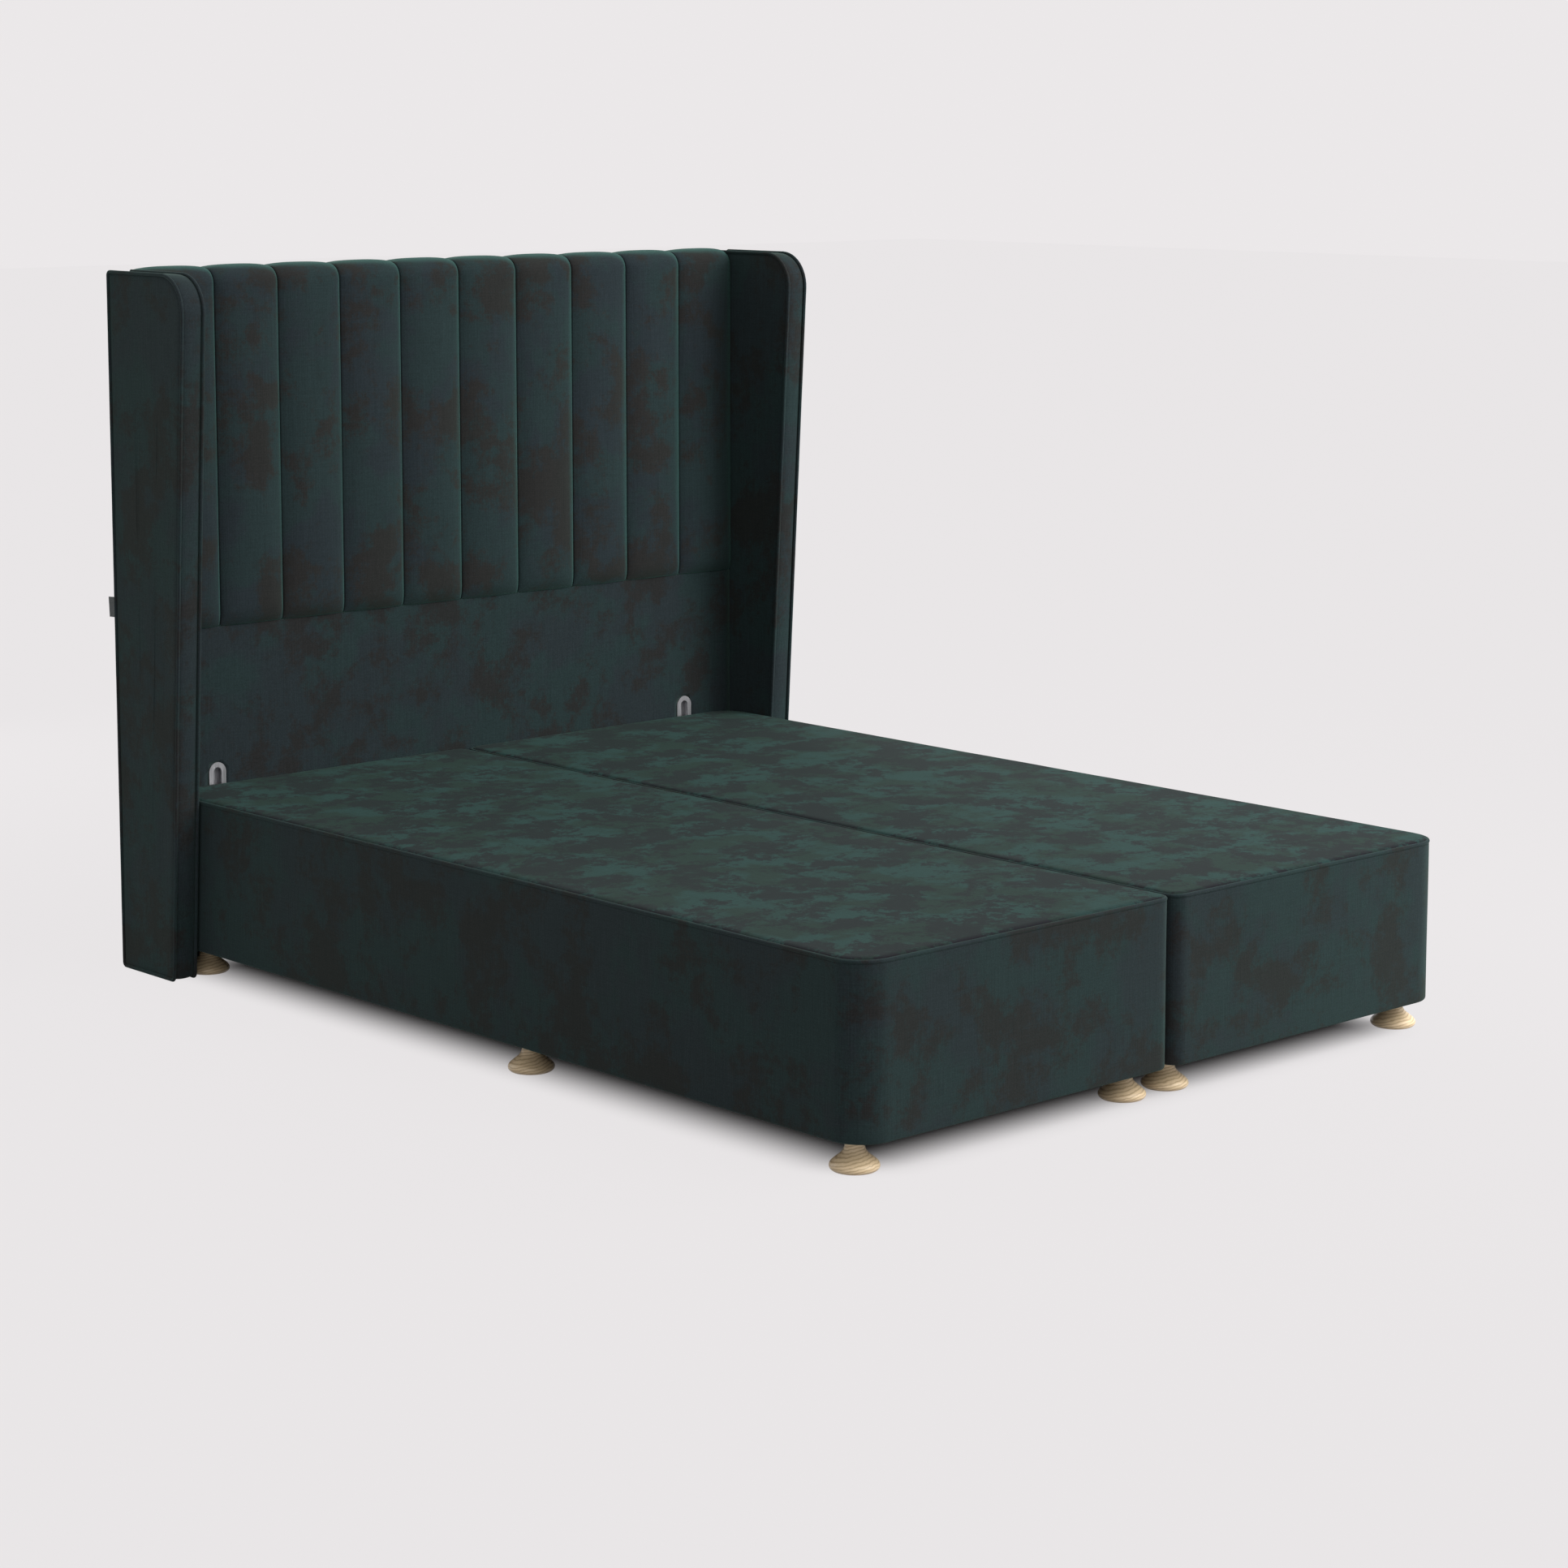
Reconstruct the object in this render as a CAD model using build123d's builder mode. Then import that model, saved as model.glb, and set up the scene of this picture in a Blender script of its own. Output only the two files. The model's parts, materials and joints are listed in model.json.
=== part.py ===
from build123d import *
import math
import os

os.makedirs("parts", exist_ok=True)

# A divan bed: two upholstered box bases side by side on turned feet, and a winged,
# channelled headboard that stands on the floor and drops onto two bolts of the bases.
# Millimetres. x runs across the bed, y from the foot end to the headboard, z up.

# Base
base_width = 1500.0
base_length = 2000.0
platform_height = 363.0
split_gap = 5.0
outer_corner_radius = 65.0
split_corner_radius = 30.0

# Upholstery of the base
border_thickness = 2.0
border_turn_under = 25.0
dust_cover_thickness = 1.0
dust_cover_margin = 12.0
top_panel_thickness = 12.0
top_panel_edge_bevel = 1.5
base_piping_diameter = 9.0
base_piping_stand_out = 2.0
base_piping_drop = 2.0
piping_clearance = 0.2
cord_sides = 8

# Timber of the base
board_thickness = 18.0
top_board_thickness = 12.0
cross_batten_width = 45.0
cross_batten_depth = 40.0
cross_batten_count = 6
foot_batten_width = 110.0
foot_batten_thickness = 22.0

# Turned feet, each on a threaded stud in a tee nut; the shares of width and height go up the profile
foot_height = 54.0
foot_diameter = 84.0
foot_turning_shares = (
    (0.83, 0.0),
    (1.0, 0.09),
    (1.0, 0.2),
    (0.87, 0.33),
    (0.58, 0.52),
    (0.41, 0.76),
    (0.37, 1.0),
)
foot_side_inset = 53.0
foot_end_inset = 67.0
middle_foot_distance = 904.0
stud_diameter = 8.0
stud_depth_in_foot = 28.0
tee_nut_flange_diameter = 22.0
tee_nut_flange_thickness = 1.5
tee_nut_barrel_diameter = 12.0
tee_nut_barrel_length = 12.0
hole_clearance = 0.3

# Link bars that hook the two bases together
link_bar_length = 130.0
link_bar_width = 25.0
link_bar_thickness = 3.0
link_bar_end_inset = 104.0
link_screw_diameter = 6.0
link_screw_head_diameter = 14.0
link_screw_head_thickness = 3.0
link_screw_depth = 16.0
link_screw_spacing = 90.0
link_pivot_clearance = 0.1
link_notch_clearance = 1.5

# Headboard between the wings
headboard_seat_clearance = 0.3
headboard_depth = 63.0
headboard_side_clearance = 8.0
headboard_bottom = 5.0
pad_seam_height = 677.0
pad_height = 1390.0
pad_cap_thickness = 20.0
channel_count = 10
channel_crown = 12.0
channel_top_crown = 8.0
pad_seam_proud = 6.0
pad_front_radius = 30.0
pad_bottom_bevel = 8.0
pad_back_bevel = 5.0
crown_shares = (0.0, 0.6, 0.92, 1.0, 0.92, 0.6, 0.0)
lower_panel_thickness = 14.0
front_board_thickness = 9.0
back_board_thickness = 3.0
back_cover_thickness = 2.0
end_stile_width = 180.0
middle_stile_width = 70.0
rail_width = 70.0
rail_count = 4

# Wings
wing_height = 1389.0
wing_bottom = 5.0
wing_thickness = 50.0
wing_depth_at_floor = 181.0
wing_depth_at_top = 264.0
wing_top_radius = 72.0
wing_corner_radius = 8.0
wing_cover_thickness = 4.0
wing_turn_under = 12.0
wing_piping_diameter = 6.0
wing_piping_stand_out = 2.5
wing_piping_return = 30.0
glide_diameter = 20.0
glide_inset = 45.0

# Slotted channels in the headboard, and the bolts that they drop over
bracket_side_inset = 130.0
bracket_width = 40.0
bracket_top = 403.0
bracket_bottom = 205.0
bracket_wall = 2.0
bracket_stand_out = 2.0
bracket_pocket_clearance = 0.3
slot_width = 19.4
bolt_height = 270.0
bolt_diameter = 10.0
bolt_head_diameter = 28.0
bolt_head_thickness = 4.0
bolt_head_clearance = 2.0
bracket_screw_diameter = 4.5
bracket_screw_head_diameter = 9.0
bracket_screw_head_thickness = 2.5
bracket_screw_length = 25.0
bracket_screw_heights = (230.0, 345.0)

# Values that follow from the sizes above
overrun = 5.0
least_corner = 1.0
half_width = (base_width - split_gap) / 2
headboard_gap = base_piping_stand_out + bracket_stand_out + headboard_seat_clearance
overall_length = (
    base_piping_stand_out + base_length + headboard_gap + headboard_depth + wing_piping_stand_out
)
foot_end_y = base_piping_stand_out - overall_length / 2
head_end_y = foot_end_y + base_length
base_middle_y = (foot_end_y + head_end_y) / 2
panel_y = head_end_y + headboard_gap
back_y = panel_y + headboard_depth
border_bottom = foot_height + dust_cover_thickness
frame_bottom = border_bottom + border_thickness
top_panel_bottom = platform_height - top_panel_thickness
frame_top = top_panel_bottom - top_board_thickness
frame_inset = border_thickness + board_thickness
base_piping_inset = base_piping_diameter / 2 - base_piping_stand_out
base_piping_height = platform_height - base_piping_drop - base_piping_diameter / 2
border_top = base_piping_height - base_piping_diameter / 2 - piping_clearance
side_signs = {"left": -1, "right": 1}
end_names = ("foot", "head")


def half_centre_x(sign):
    return sign * (split_gap + half_width) / 2


def half_plan(sign, inset):
    """Plan of one base, drawn in by inset, with its own radius at the outer and split corners."""
    with BuildSketch(mode=Mode.PRIVATE) as plan:
        with Locations((half_centre_x(sign), base_middle_y)):
            Rectangle(half_width - 2 * inset, base_length - 2 * inset)
        by_side = plan.vertices().group_by(Axis.X)[::sign]
        fillet(by_side[-1], max(outer_corner_radius - inset, least_corner))
        by_side = plan.vertices().group_by(Axis.X)[::sign]
        fillet(by_side[0], max(split_corner_radius - inset, least_corner))
    return plan.sketch


def corner_squares(sign):
    """Squares that hold the rounded corners of one base."""
    outer_x = sign * base_width / 2
    split_x = sign * split_gap / 2
    with BuildSketch(mode=Mode.PRIVATE) as squares:
        for y, inward in ((foot_end_y, 1), (head_end_y, -1)):
            with Locations((outer_x - sign * outer_corner_radius / 2, y + inward * outer_corner_radius / 2)):
                Rectangle(outer_corner_radius, outer_corner_radius)
            with Locations((split_x + sign * split_corner_radius / 2, y + inward * split_corner_radius / 2)):
                Rectangle(split_corner_radius, split_corner_radius)
    return squares.sketch


def cord_along(path, diameter):
    """Cord with a few flat sides that follows a wire."""
    with BuildPart(mode=Mode.PRIVATE) as cord:
        with BuildSketch(Plane(origin=path @ 0, z_dir=path % 0)):
            RegularPolygon(diameter / 2, cord_sides)
        sweep(path=path)
    return cord.part


def foot_places(sign):
    """Foot centres of one base, in plan."""
    xs = (sign * (base_width / 2 - foot_side_inset), sign * (split_gap / 2 + foot_side_inset))
    ys = (foot_end_y + foot_end_inset, foot_end_y + middle_foot_distance, head_end_y - foot_end_inset)
    return [(x, y) for y in ys for x in xs]


def link_place(end):
    """Distance along the bed of one link bar."""
    if end == "foot":
        return foot_end_y + link_bar_end_inset
    return head_end_y - link_bar_end_inset


bolt_x = base_width / 2 - bracket_side_inset
link_x = link_screw_spacing / 2

for side, sign in side_signs.items():
    centre_x = half_centre_x(sign)
    outer_x = sign * base_width / 2
    split_x = sign * split_gap / 2
    frame_height = frame_top - frame_bottom

    # Two long side boards on edge
    with BuildPart() as side_rails:
        with BuildSketch(Plane.XY.offset(frame_bottom)):
            with Locations((outer_x - sign * (border_thickness + board_thickness / 2), base_middle_y)):
                Rectangle(board_thickness, base_length - 2 * outer_corner_radius)
            with Locations((split_x + sign * (border_thickness + board_thickness / 2), base_middle_y)):
                Rectangle(board_thickness, base_length - 2 * split_corner_radius)
        extrude(amount=frame_height)
    side_rails.part.label = f"side_rails_{side}"
    export_step(side_rails.part, f"parts/side_rails_{side}.step")

    # Two end boards, the head one bored for the headboard bolt
    end_rail_length = half_width - outer_corner_radius - split_corner_radius
    end_rail_x = centre_x - sign * (outer_corner_radius - split_corner_radius) / 2
    with BuildPart() as end_rails:
        with BuildSketch(Plane.XY.offset(frame_bottom)):
            with Locations(
                (end_rail_x, foot_end_y + border_thickness + board_thickness / 2),
                (end_rail_x, head_end_y - border_thickness - board_thickness / 2),
            ):
                Rectangle(end_rail_length, board_thickness)
        extrude(amount=frame_height)
        with BuildSketch(Plane.XZ.offset(-head_end_y)):
            with Locations((sign * bolt_x, bolt_height)):
                Circle(tee_nut_barrel_diameter / 2 + hole_clearance)
        extrude(amount=frame_inset + overrun, mode=Mode.SUBTRACT)
    end_rails.part.label = f"end_rails_{side}"
    export_step(end_rails.part, f"parts/end_rails_{side}.step")

    # Bent boards that round the four corners
    with BuildPart() as corner_boards:
        with BuildSketch(Plane.XY.offset(frame_bottom)):
            add(half_plan(sign, border_thickness))
            add(half_plan(sign, frame_inset), mode=Mode.SUBTRACT)
            add(corner_squares(sign), mode=Mode.INTERSECT)
        extrude(amount=frame_height)
    corner_boards.part.label = f"corner_boards_{side}"
    export_step(corner_boards.part, f"parts/corner_boards_{side}.step")

    # Battens under the top board
    with BuildPart() as cross_battens:
        with BuildSketch(Plane.XY.offset(frame_top - cross_batten_depth)):
            with Locations((centre_x, base_middle_y)):
                batten_pitch = base_length / (cross_batten_count + 1)
                with GridLocations(batten_pitch, batten_pitch, 1, cross_batten_count):
                    Rectangle(half_width - 2 * frame_inset, cross_batten_width)
        extrude(amount=cross_batten_depth)
    cross_battens.part.label = f"cross_battens_{side}"
    export_step(cross_battens.part, f"parts/cross_battens_{side}.step")

    # Flat battens at the bottom, bored for the feet and the link screws
    with BuildPart() as foot_battens:
        with BuildSketch(Plane.XY.offset(frame_bottom)):
            with Locations(*[(centre_x, place[1]) for place in foot_places(sign)[::2]]):
                Rectangle(half_width - 2 * frame_inset, foot_batten_width)
            add(half_plan(sign, frame_inset), mode=Mode.INTERSECT)
        extrude(amount=foot_batten_thickness)
        with BuildSketch(Plane.XY.offset(frame_bottom)):
            with Locations(*foot_places(sign)):
                Circle(tee_nut_barrel_diameter / 2 + hole_clearance)
        extrude(amount=foot_batten_thickness, mode=Mode.SUBTRACT)
        with BuildSketch(Plane.XY.offset(frame_bottom)):
            with Locations(*[(sign * link_x, link_place(end)) for end in end_names]):
                Circle(link_screw_diameter / 2 + hole_clearance)
        extrude(amount=link_screw_depth + hole_clearance, mode=Mode.SUBTRACT)
    foot_battens.part.label = f"foot_battens_{side}"
    export_step(foot_battens.part, f"parts/foot_battens_{side}.step")

    # Top board
    with BuildPart() as top_board:
        with BuildSketch(Plane.XY.offset(frame_top)):
            add(half_plan(sign, border_thickness))
        extrude(amount=top_board_thickness)
    top_board.part.label = f"top_board_{side}"
    export_step(top_board.part, f"parts/top_board_{side}.step")

    # Self piping round the top edge
    piping_plan = half_plan(sign, base_piping_inset).face().outer_wire()
    piping_path = piping_plan.moved(Location((0, 0, base_piping_height)))
    with BuildPart() as base_piping:
        add(cord_along(piping_path, base_piping_diameter))
    base_piping.part.label = f"base_piping_{side}"
    export_step(base_piping.part, f"parts/base_piping_{side}.step")

    # Padded top panel, with the groove that the piping lies in
    with BuildPart() as top_panel:
        with BuildSketch(Plane.XY.offset(top_panel_bottom)):
            add(half_plan(sign, base_piping_inset))
        extrude(amount=top_panel_thickness)
        chamfer(top_panel.faces().sort_by(Axis.Z)[-1].edges(), top_panel_edge_bevel)
        add(cord_along(piping_path, base_piping_diameter + 2 * piping_clearance), mode=Mode.SUBTRACT)
    top_panel.part.label = f"top_panel_{side}"
    export_step(top_panel.part, f"parts/top_panel_{side}.step")

    # Fabric border round the sides, turned under the boards
    with BuildPart() as border:
        with BuildSketch(Plane.XY.offset(border_bottom)):
            add(half_plan(sign, 0))
        extrude(amount=border_top - border_bottom)
        with BuildSketch(Plane.XY.offset(frame_bottom)):
            add(half_plan(sign, border_thickness))
        extrude(amount=border_top - frame_bottom, mode=Mode.SUBTRACT)
        with BuildSketch(Plane.XY.offset(border_bottom)):
            add(half_plan(sign, border_turn_under))
        extrude(amount=border_thickness, mode=Mode.SUBTRACT)
        with BuildSketch(Plane.XZ.offset(-head_end_y)):
            with Locations((sign * bolt_x, bolt_height)):
                Circle(bolt_diameter / 2 + hole_clearance)
        extrude(amount=frame_inset, mode=Mode.SUBTRACT)
    border.part.label = f"border_{side}"
    export_step(border.part, f"parts/border_{side}.step")

    # Dust cover on the underside, cut open for the studs and screws
    stud_cut = stud_diameter + 2 * hole_clearance
    screw_cut = link_screw_diameter + 2 * hole_clearance
    with BuildPart() as dust_cover:
        with BuildSketch(Plane.XY.offset(foot_height)):
            add(half_plan(sign, dust_cover_margin))
            with Locations(*foot_places(sign)):
                Rectangle(stud_cut, stud_cut, mode=Mode.SUBTRACT)
            with Locations(*[(sign * link_x, link_place(end)) for end in end_names]):
                Rectangle(screw_cut, screw_cut, mode=Mode.SUBTRACT)
        extrude(amount=dust_cover_thickness)
    dust_cover.part.label = f"dust_cover_{side}"
    export_step(dust_cover.part, f"parts/dust_cover_{side}.step")

    # Six turned feet
    for number, (foot_x, foot_y) in enumerate(foot_places(sign), start=1):
        with BuildPart() as foot:
            with BuildSketch(Plane.XZ):
                with BuildLine():
                    turning = [
                        (foot_diameter / 2 * wide, foot_height * high)
                        for wide, high in foot_turning_shares
                    ]
                    Polyline((0, 0), *turning, (0, foot_height), close=True)
                make_face()
            revolve(axis=Axis.Z)
            with Locations((0, 0, foot_height)):
                Hole(stud_diameter / 2 + hole_clearance, stud_depth_in_foot + hole_clearance)
        foot.part.locate(Location((foot_x, foot_y, 0)))
        foot.part.label = f"foot_{side}_{number}"
        export_step(foot.part, f"parts/foot_{side}_{number}.step")

all_feet = foot_places(-1) + foot_places(1)
batten_top = frame_bottom + foot_batten_thickness

# Threaded studs between the feet and the tee nuts
with BuildPart() as foot_studs:
    with BuildSketch(Plane.XY.offset(foot_height - stud_depth_in_foot)):
        with Locations(*all_feet):
            Circle(stud_diameter / 2)
    extrude(amount=batten_top - foot_height + stud_depth_in_foot)
foot_studs.part.label = "foot_studs"
export_step(foot_studs.part, "parts/foot_studs.step")

# Tee nuts let into the foot battens
with BuildPart() as foot_tee_nuts:
    with BuildSketch(Plane.XY.offset(batten_top)):
        with Locations(*all_feet):
            Circle(tee_nut_flange_diameter / 2)
    extrude(amount=tee_nut_flange_thickness)
    with BuildSketch(Plane.XY.offset(batten_top)):
        with Locations(*all_feet):
            Circle(tee_nut_barrel_diameter / 2)
    extrude(amount=-tee_nut_barrel_length)
    with BuildSketch(Plane.XY.offset(batten_top - tee_nut_barrel_length)):
        with Locations(*all_feet):
            Circle(stud_diameter / 2 + hole_clearance)
    extrude(amount=tee_nut_barrel_length + tee_nut_flange_thickness, mode=Mode.SUBTRACT)
foot_tee_nuts.part.label = "foot_tee_nuts"
export_step(foot_tee_nuts.part, "parts/foot_tee_nuts.step")

# Steel link bars: pivoted on the left base, hooked on a screw of the right one
link_bar_top = foot_height - hole_clearance
link_bar_bottom = link_bar_top - link_bar_thickness
for end, swing in (("foot", 1), ("head", -1)):
    notch_width = link_screw_diameter + 2 * link_notch_clearance
    with BuildPart() as link_bar:
        with BuildSketch(Plane.XY.offset(link_bar_bottom)):
            with Locations((0, link_place(end))):
                SlotOverall(link_bar_length, link_bar_width)
            with Locations((-link_x, link_place(end))):
                Circle(link_screw_diameter / 2 + link_pivot_clearance, mode=Mode.SUBTRACT)
            with Locations((link_x, link_place(end))):
                Circle(notch_width / 2, mode=Mode.SUBTRACT)
            with Locations((link_x, link_place(end) - swing * link_bar_width / 2)):
                Rectangle(notch_width, link_bar_width, mode=Mode.SUBTRACT)
        extrude(amount=link_bar_thickness)
    link_bar.part.label = f"link_bar_{end}"
    export_step(link_bar.part, f"parts/link_bar_{end}.step")

# Pan-head screws of the link bars
for use, screw_x in (("pivot", -link_x), ("catch", link_x)):
    places = [(screw_x, link_place(end)) for end in end_names]
    with BuildPart() as link_screws:
        with BuildSketch(Plane.XY.offset(link_bar_bottom - hole_clearance)):
            with Locations(*places):
                Circle(link_screw_head_diameter / 2)
        extrude(amount=-link_screw_head_thickness, taper=20)
        with BuildSketch(Plane.XY.offset(link_bar_bottom - hole_clearance)):
            with Locations(*places):
                Circle(link_screw_diameter / 2)
        extrude(amount=frame_bottom + link_screw_depth - link_bar_bottom + hole_clearance)
    link_screws.part.label = f"link_{use}_screws"
    export_step(link_screws.part, f"parts/link_{use}_screws.step")

# Headboard bolts: flat round heads that run inside the headboard's channels
bolt_places = [(-bolt_x, bolt_height), (bolt_x, bolt_height)]
bolt_head_y = panel_y + bolt_head_clearance
bolt_inner_y = head_end_y - frame_inset
with BuildPart() as headboard_bolts:
    with BuildSketch(Plane.XZ.offset(-bolt_head_y)):
        with Locations(*bolt_places):
            Circle(bolt_head_diameter / 2)
    extrude(amount=-bolt_head_thickness)
    with BuildSketch(Plane.XZ.offset(-bolt_head_y)):
        with Locations(*bolt_places):
            Circle(bolt_diameter / 2)
    extrude(amount=bolt_head_y - bolt_inner_y)
headboard_bolts.part.label = "headboard_bolts"
export_step(headboard_bolts.part, "parts/headboard_bolts.step")

# Tee nuts that hold the headboard bolts
with BuildPart() as bolt_tee_nuts:
    with BuildSketch(Plane.XZ.offset(-bolt_inner_y)):
        with Locations(*bolt_places):
            Circle(tee_nut_flange_diameter / 2)
    extrude(amount=tee_nut_flange_thickness)
    with BuildSketch(Plane.XZ.offset(-bolt_inner_y)):
        with Locations(*bolt_places):
            Circle(tee_nut_barrel_diameter / 2)
    extrude(amount=-tee_nut_barrel_length)
    with BuildSketch(Plane.XZ.offset(-bolt_inner_y - tee_nut_barrel_length)):
        with Locations(*bolt_places):
            Circle(bolt_diameter / 2 + hole_clearance)
    extrude(amount=tee_nut_barrel_length + tee_nut_flange_thickness, mode=Mode.SUBTRACT)
bolt_tee_nuts.part.label = "bolt_tee_nuts"
export_step(bolt_tee_nuts.part, "parts/bolt_tee_nuts.step")

# Headboard between the wings
inner_width = base_width + 2 * headboard_side_clearance
frame_top_z = pad_height - pad_cap_thickness
panel_height = frame_top_z - headboard_bottom
front_board_y = panel_y + lower_panel_thickness
timber_y = front_board_y + front_board_thickness
back_board_y = back_y - back_cover_thickness - back_board_thickness
timber_depth = back_board_y - timber_y

# Upright stiles: two wide ones that carry the channels and wings, and a middle one
end_stile_x = (inner_width - end_stile_width) / 2
with BuildPart() as headboard_stiles:
    with BuildSketch(Plane.XY.offset(headboard_bottom)):
        with Locations(
            (-end_stile_x, timber_y + timber_depth / 2),
            (end_stile_x, timber_y + timber_depth / 2),
        ):
            Rectangle(end_stile_width, timber_depth)
        with Locations((0, timber_y + timber_depth / 2)):
            Rectangle(middle_stile_width, timber_depth)
    extrude(amount=panel_height)
    with BuildSketch(Plane.XZ.offset(-timber_y)):
        with Locations(*[(x, z) for x in (-bolt_x, bolt_x) for z in bracket_screw_heights]):
            Circle(bracket_screw_diameter / 2 + hole_clearance)
    extrude(amount=-bracket_screw_length, mode=Mode.SUBTRACT)
headboard_stiles.part.label = "headboard_stiles"
export_step(headboard_stiles.part, "parts/headboard_stiles.step")

# Rails between the stiles
bay_width = inner_width / 2 - end_stile_width - middle_stile_width / 2
bay_x = (bay_width + middle_stile_width) / 2
with BuildPart() as headboard_rails:
    with BuildSketch(Plane.XZ.offset(-timber_y)):
        with Locations((0, headboard_bottom + panel_height / 2)):
            rail_pitch = (panel_height - rail_width) / (rail_count - 1)
            with GridLocations(2 * bay_x, rail_pitch, 2, rail_count):
                Rectangle(bay_width, rail_width)
    extrude(amount=-timber_depth)
headboard_rails.part.label = "headboard_rails"
export_step(headboard_rails.part, "parts/headboard_rails.step")

# Plywood front, hardboard back and the fabric over it
for name, front_y, thickness in (
    ("headboard_front_board", front_board_y, front_board_thickness),
    ("headboard_back_board", back_board_y, back_board_thickness),
    ("headboard_back_cover", back_y - back_cover_thickness, back_cover_thickness),
):
    with BuildPart() as sheet:
        with BuildSketch(Plane.XZ.offset(-front_y)):
            with Locations((0, headboard_bottom + panel_height / 2)):
                Rectangle(inner_width, panel_height)
        extrude(amount=-thickness)
        if name == "headboard_front_board":
            with BuildSketch(Plane.XZ.offset(-front_y)):
                with Locations(*[(x, z) for x in (-bolt_x, bolt_x) for z in bracket_screw_heights]):
                    Circle(bracket_screw_diameter / 2 + hole_clearance)
            extrude(amount=-thickness, mode=Mode.SUBTRACT)
    sheet.part.label = name
    export_step(sheet.part, f"parts/{name}.step")


def bracket_outline(inset, bottom):
    """Upright strip with a half-round top, drawn in by inset, open towards its bottom."""
    width = bracket_width - 2 * inset
    top = bracket_top - inset
    with BuildSketch(mode=Mode.PRIVATE) as outline:
        with Locations((0, (top - width / 2 + bottom) / 2)):
            Rectangle(width, top - width / 2 - bottom)
        with Locations((0, top - width / 2)):
            Circle(width / 2)
    return outline.sketch


# Padded lower panel, with pockets for the channels
with BuildPart() as lower_panel:
    with BuildSketch(Plane.XZ.offset(-panel_y)):
        with Locations((0, (headboard_bottom + pad_seam_height) / 2)):
            Rectangle(inner_width, pad_seam_height - headboard_bottom)
    extrude(amount=-lower_panel_thickness)
    with BuildSketch(Plane.XZ.offset(-panel_y)):
        for x in (-bolt_x, bolt_x):
            with Locations((x, 0)):
                add(bracket_outline(-bracket_pocket_clearance, headboard_bottom - overrun))
    extrude(amount=-lower_panel_thickness, mode=Mode.SUBTRACT)
lower_panel.part.label = "lower_panel"
export_step(lower_panel.part, "parts/lower_panel.step")

# Slotted channels: a half-round top, a slot that is open at the bottom, a hollow behind it
channel_depth = lower_panel_thickness + bracket_stand_out
for side, sign in side_signs.items():
    with BuildPart() as bracket:
        with BuildSketch(Plane.XZ.offset(-panel_y + bracket_stand_out)):
            add(bracket_outline(0, bracket_bottom))
        extrude(amount=-channel_depth)
        with BuildSketch(Plane.XZ.offset(-panel_y + bracket_stand_out - bracket_wall)):
            add(bracket_outline(bracket_wall, bracket_bottom - overrun))
        extrude(amount=-channel_depth + 2 * bracket_wall, mode=Mode.SUBTRACT)
        with BuildSketch(Plane.XZ.offset(-panel_y + bracket_stand_out)):
            add(bracket_outline((bracket_width - slot_width) / 2, bracket_bottom - overrun))
        extrude(amount=-bracket_wall, mode=Mode.SUBTRACT)
        with BuildSketch(Plane.XZ.offset(-front_board_y + bracket_wall)):
            with Locations(*[(0, z) for z in bracket_screw_heights]):
                Circle(bracket_screw_diameter / 2 + hole_clearance)
        extrude(amount=-bracket_wall, mode=Mode.SUBTRACT)
    bracket.part.locate(Location((sign * bolt_x, 0, 0)))
    bracket.part.label = f"bracket_{side}"
    export_step(bracket.part, f"parts/bracket_{side}.step")

# Screws that hold the channels to the front board and stiles
screw_places = [(x, z) for x in (-bolt_x, bolt_x) for z in bracket_screw_heights]
with BuildPart() as bracket_screws:
    with BuildSketch(Plane.XZ.offset(-front_board_y + bracket_wall)):
        with Locations(*screw_places):
            Circle(bracket_screw_head_diameter / 2)
    extrude(amount=bracket_screw_head_thickness)
    with BuildSketch(Plane.XZ.offset(-front_board_y + bracket_wall)):
        with Locations(*screw_places):
            Circle(bracket_screw_diameter / 2)
    extrude(amount=-bracket_screw_length)
bracket_screws.part.label = "bracket_screws"
export_step(bracket_screws.part, "parts/bracket_screws.step")


def wing_front_y(height):
    """Front edge of a wing at a height: a straight line that leans forward."""
    lean = (wing_depth_at_top - wing_depth_at_floor) / wing_height
    return back_y - wing_depth_at_floor - lean * height


def wing_corners(inset):
    """Corners of a wing's side outline, drawn in by inset, from bottom front over the top to the back."""
    top = wing_height - inset
    bottom = wing_bottom + inset
    back = back_y - inset
    return [
        (wing_front_y(bottom) + inset, bottom),
        (wing_front_y(top) + inset, top),
        (back, top),
        (back, bottom),
    ]


def wing_radii(inset):
    """Radii of those corners."""
    small = max(wing_corner_radius - inset, least_corner)
    return [small, wing_top_radius - inset, small, small]


def wing_side(inset):
    """Side outline of a wing as a face."""
    with BuildSketch(mode=Mode.PRIVATE) as face:
        with BuildLine():
            FilletPolyline(*wing_corners(inset), radius=wing_radii(inset), close=True)
        make_face()
    return face.sketch


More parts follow.
